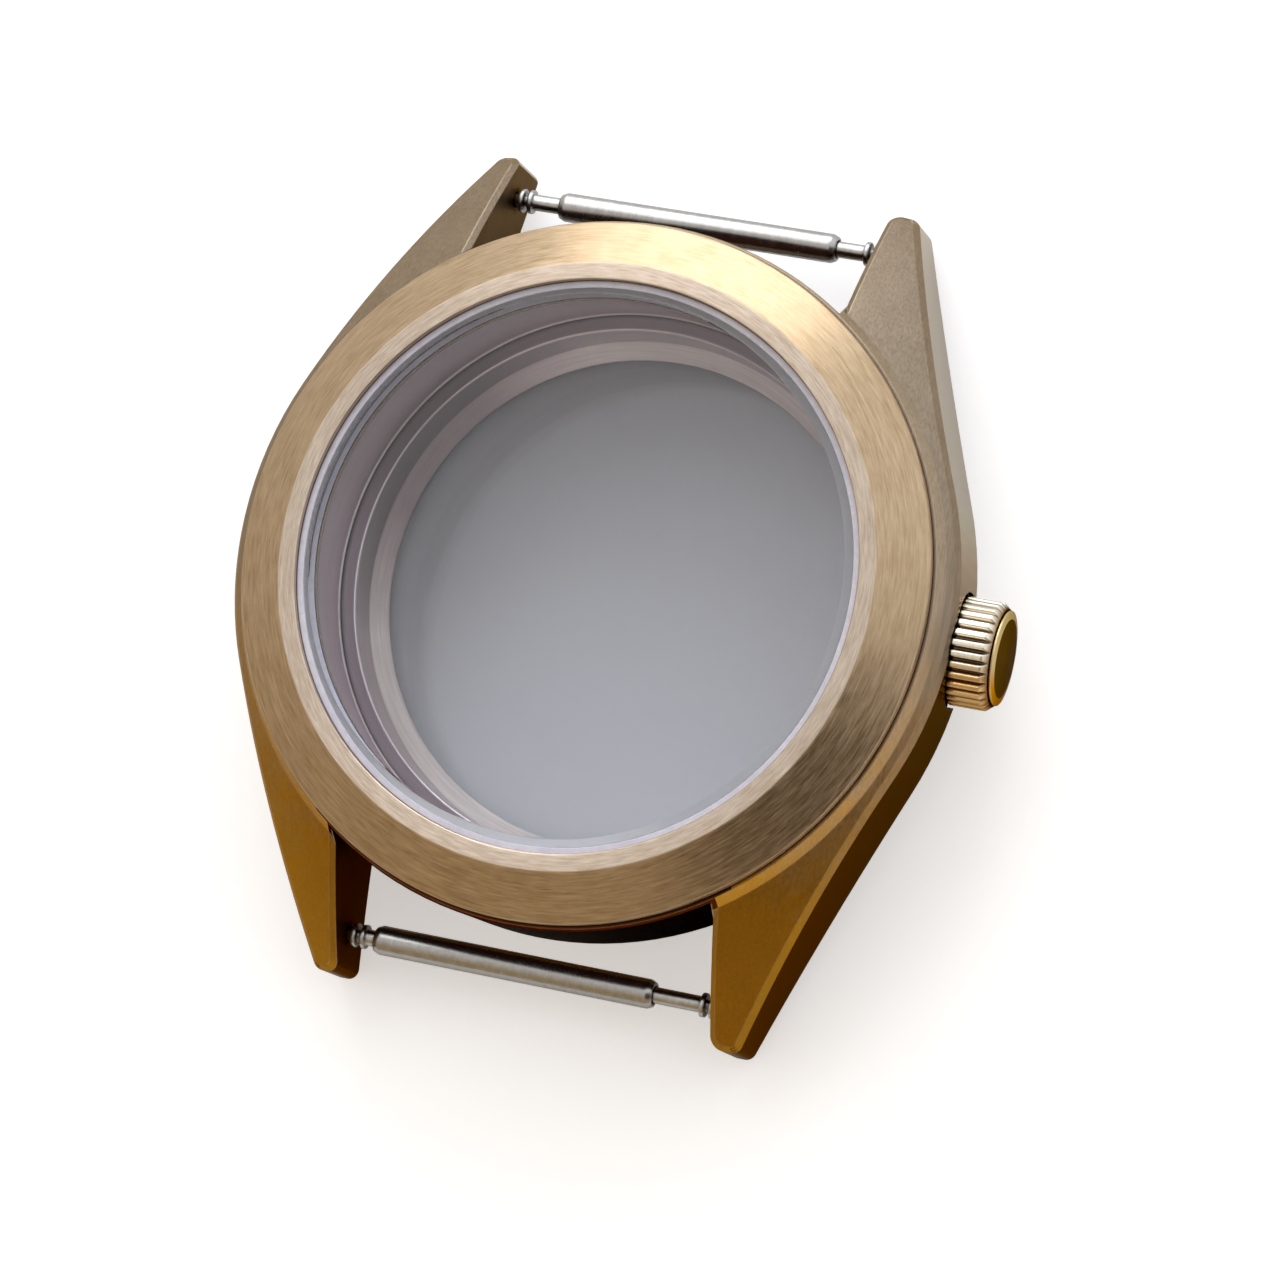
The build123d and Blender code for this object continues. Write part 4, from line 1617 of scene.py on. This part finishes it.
@dataclass(frozen=True)
class Lamp:
    """A soft square lamp that faces the case."""

    name: str
    place: Point
    size: float
    watts: float
    colour: Colour

    def build(self) -> None:
        """Hang the lamp."""
        data = bpy.data.lights.new(self.name, "AREA")
        data.shape = "SQUARE"
        data.size = self.size * MM
        data.energy = self.watts
        data.color = self.colour
        lamp = linked(self.name, data)
        lamp.location = np.array(self.place, dtype=float) * MM
        x, y, z = -np.array(self.place) / np.linalg.norm(self.place)
        lamp.rotation_euler = (math.acos(-z), 0.0, math.atan2(y, x) - math.pi / 2)


@dataclass
class StageSet:
    """Camera, lamps, world and floor."""

    lamps: tuple[Lamp, ...] = (
        Lamp("key_lamp", (-50, 330, 170), 260.0, 0.5, (0.95, 0.97, 1.0)),
        Lamp("high_lamp", (-114, 185, 300), 130.0, 0.08, (1.0, 0.98, 0.97)),
    )
    camera_place: Point = (78.98988, -36.32138, 253.38253)
    camera_turn_degrees: Point = (11.0803, 15.1761, 12.8664)
    lens: float = 146.3916
    sensor: float = 36.0
    clips: tuple[float, float] = (0.01, 20.0)  # metres
    low_light: Colour = (0.42, 0.31, 0.18)
    high_light: Colour = (0.98, 0.99, 1.03)
    light_way: Point = (0.15, 0.6, 0.25)
    light_span: tuple[float, float] = (-0.35, 0.55)
    shade_way: Point = (0.497, -0.388, 0.776)
    shade_span: tuple[float, float] = (0.86, 0.95)
    shade_share: float = 0.97
    shade_light: Colour = (0.04, 0.02, 0.005)
    floor_size: float = 3000.0
    floor_z: float = -0.05
    floor_corners: int = 5
    floor_glow: float = 0.45
    floor_roughness: float = 0.9
    fibre_scale: float = 900.0
    paper_dark: Colour = (0.9, 0.9, 0.9)
    paper_light: Colour = (0.95, 0.95, 0.95)

    def build(self) -> None:
        """Make the camera, the lamps, the world and the floor."""
        self.camera()
        self.floor()
        self.world()
        for lamp in self.lamps:
            lamp.build()

    def camera(self) -> None:
        """Set the camera at the viewing angle of the picture."""
        data = bpy.data.cameras.new("view_camera")
        data.lens = self.lens
        data.sensor_width = self.sensor
        data.sensor_fit = "HORIZONTAL"
        data.clip_start, data.clip_end = self.clips
        camera = linked("view_camera", data)
        camera.location = np.array(self.camera_place) * MM
        camera.rotation_euler = [math.radians(turn) for turn in self.camera_turn_degrees]
        bpy.context.scene.camera = camera

    def floor(self) -> None:
        """Lay the pale floor, which keeps the shadow of the case."""
        spread = np.linspace(-0.5, 0.5, self.floor_corners) * self.floor_size
        x, y = np.meshgrid(spread, spread, indexing="ij")
        grid = np.stack([x, y, np.full_like(x, self.floor_z)], -1) * MM
        floor = lattice("floor", grid, False, False)
        material, web, shader, place = new_material("floor_paper")
        fibre = web.noise(place, scale=self.fibre_scale)
        paper = web.mixed(fibre, opaque(self.paper_dark), opaque(self.paper_light))
        web.fill(shader, Base_Color=paper, Roughness=self.floor_roughness, Specular_IOR_Level=0.0)
        seen = web.add("ShaderNodeLightPath").outputs["Is Camera Ray"]
        strength = web.maths("MULTIPLY", seen, self.floor_glow)
        glow = web.add("ShaderNodeEmission", Strength=strength)
        parts = (shader.outputs[0], glow.outputs[0])
        both = web.work("ShaderNodeAddShader", {}, parts)[0]
        web.fill(material.node_tree.nodes["Material Output"], Surface=both)
        floor.data.materials.append(material)

    def world(self) -> None:
        """Surround the case by a soft pale studio that is darker low down."""
        world = bpy.data.worlds.new("soft_studio")
        world.use_nodes = True
        bpy.context.scene.world = world
        web = Web(world.node_tree)
        direction = web.add("ShaderNodeTexCoord").outputs["Generated"]
        x, y, z = web.add("ShaderNodeSeparateXYZ", Vector=direction).outputs
        across = web.maths("MULTIPLY", x, self.light_way[0])
        rise = web.maths("MULTIPLY_ADD", z, self.light_way[2], across)
        tilt = web.maths("MULTIPLY_ADD", y, self.light_way[1], rise)
        share = web.ranged(tilt, *self.light_span)
        colour = web.mixed(share, opaque(self.low_light), opaque(self.high_light))
        near = web.vector("DOT_PRODUCT", direction, self.shade_way)["Value"]
        shade = web.ranged(near, *self.shade_span, 0.0, self.shade_share)
        colour = web.mixed(shade, colour, opaque(self.shade_light))
        seen = web.add("ShaderNodeLightPath").outputs["Is Camera Ray"]
        white = web.mixed(seen, colour, (1.0, 1.0, 1.0, 1.0))
        web.fill(world.node_tree.nodes["Background"], Color=white, Strength=1.0)
        bpy.context.scene.view_settings.view_transform = "Standard"


def main() -> None:
    """Build every sub-assembly and the stage."""
    logging.basicConfig(level=logging.INFO, format="%(name)s: %(message)s")
    wardrobe = Wardrobe()
    upper, lower = BAR_SPINDLES["upper"], BAR_SPINDLES["lower"]
    for assembly in (
        Front(wardrobe),
        Middle(wardrobe),
        CaseBack(wardrobe),
        ScrewDownCrown(wardrobe, CROWN_SPINDLE),
        SpringBar(wardrobe, upper, name="upper"),
        SpringBar(wardrobe, lower, name="lower", shift=-1.0, left_press=0.45),
        StageSet(),
    ):
        assembly.build()


if __name__ == "__main__":
    main()
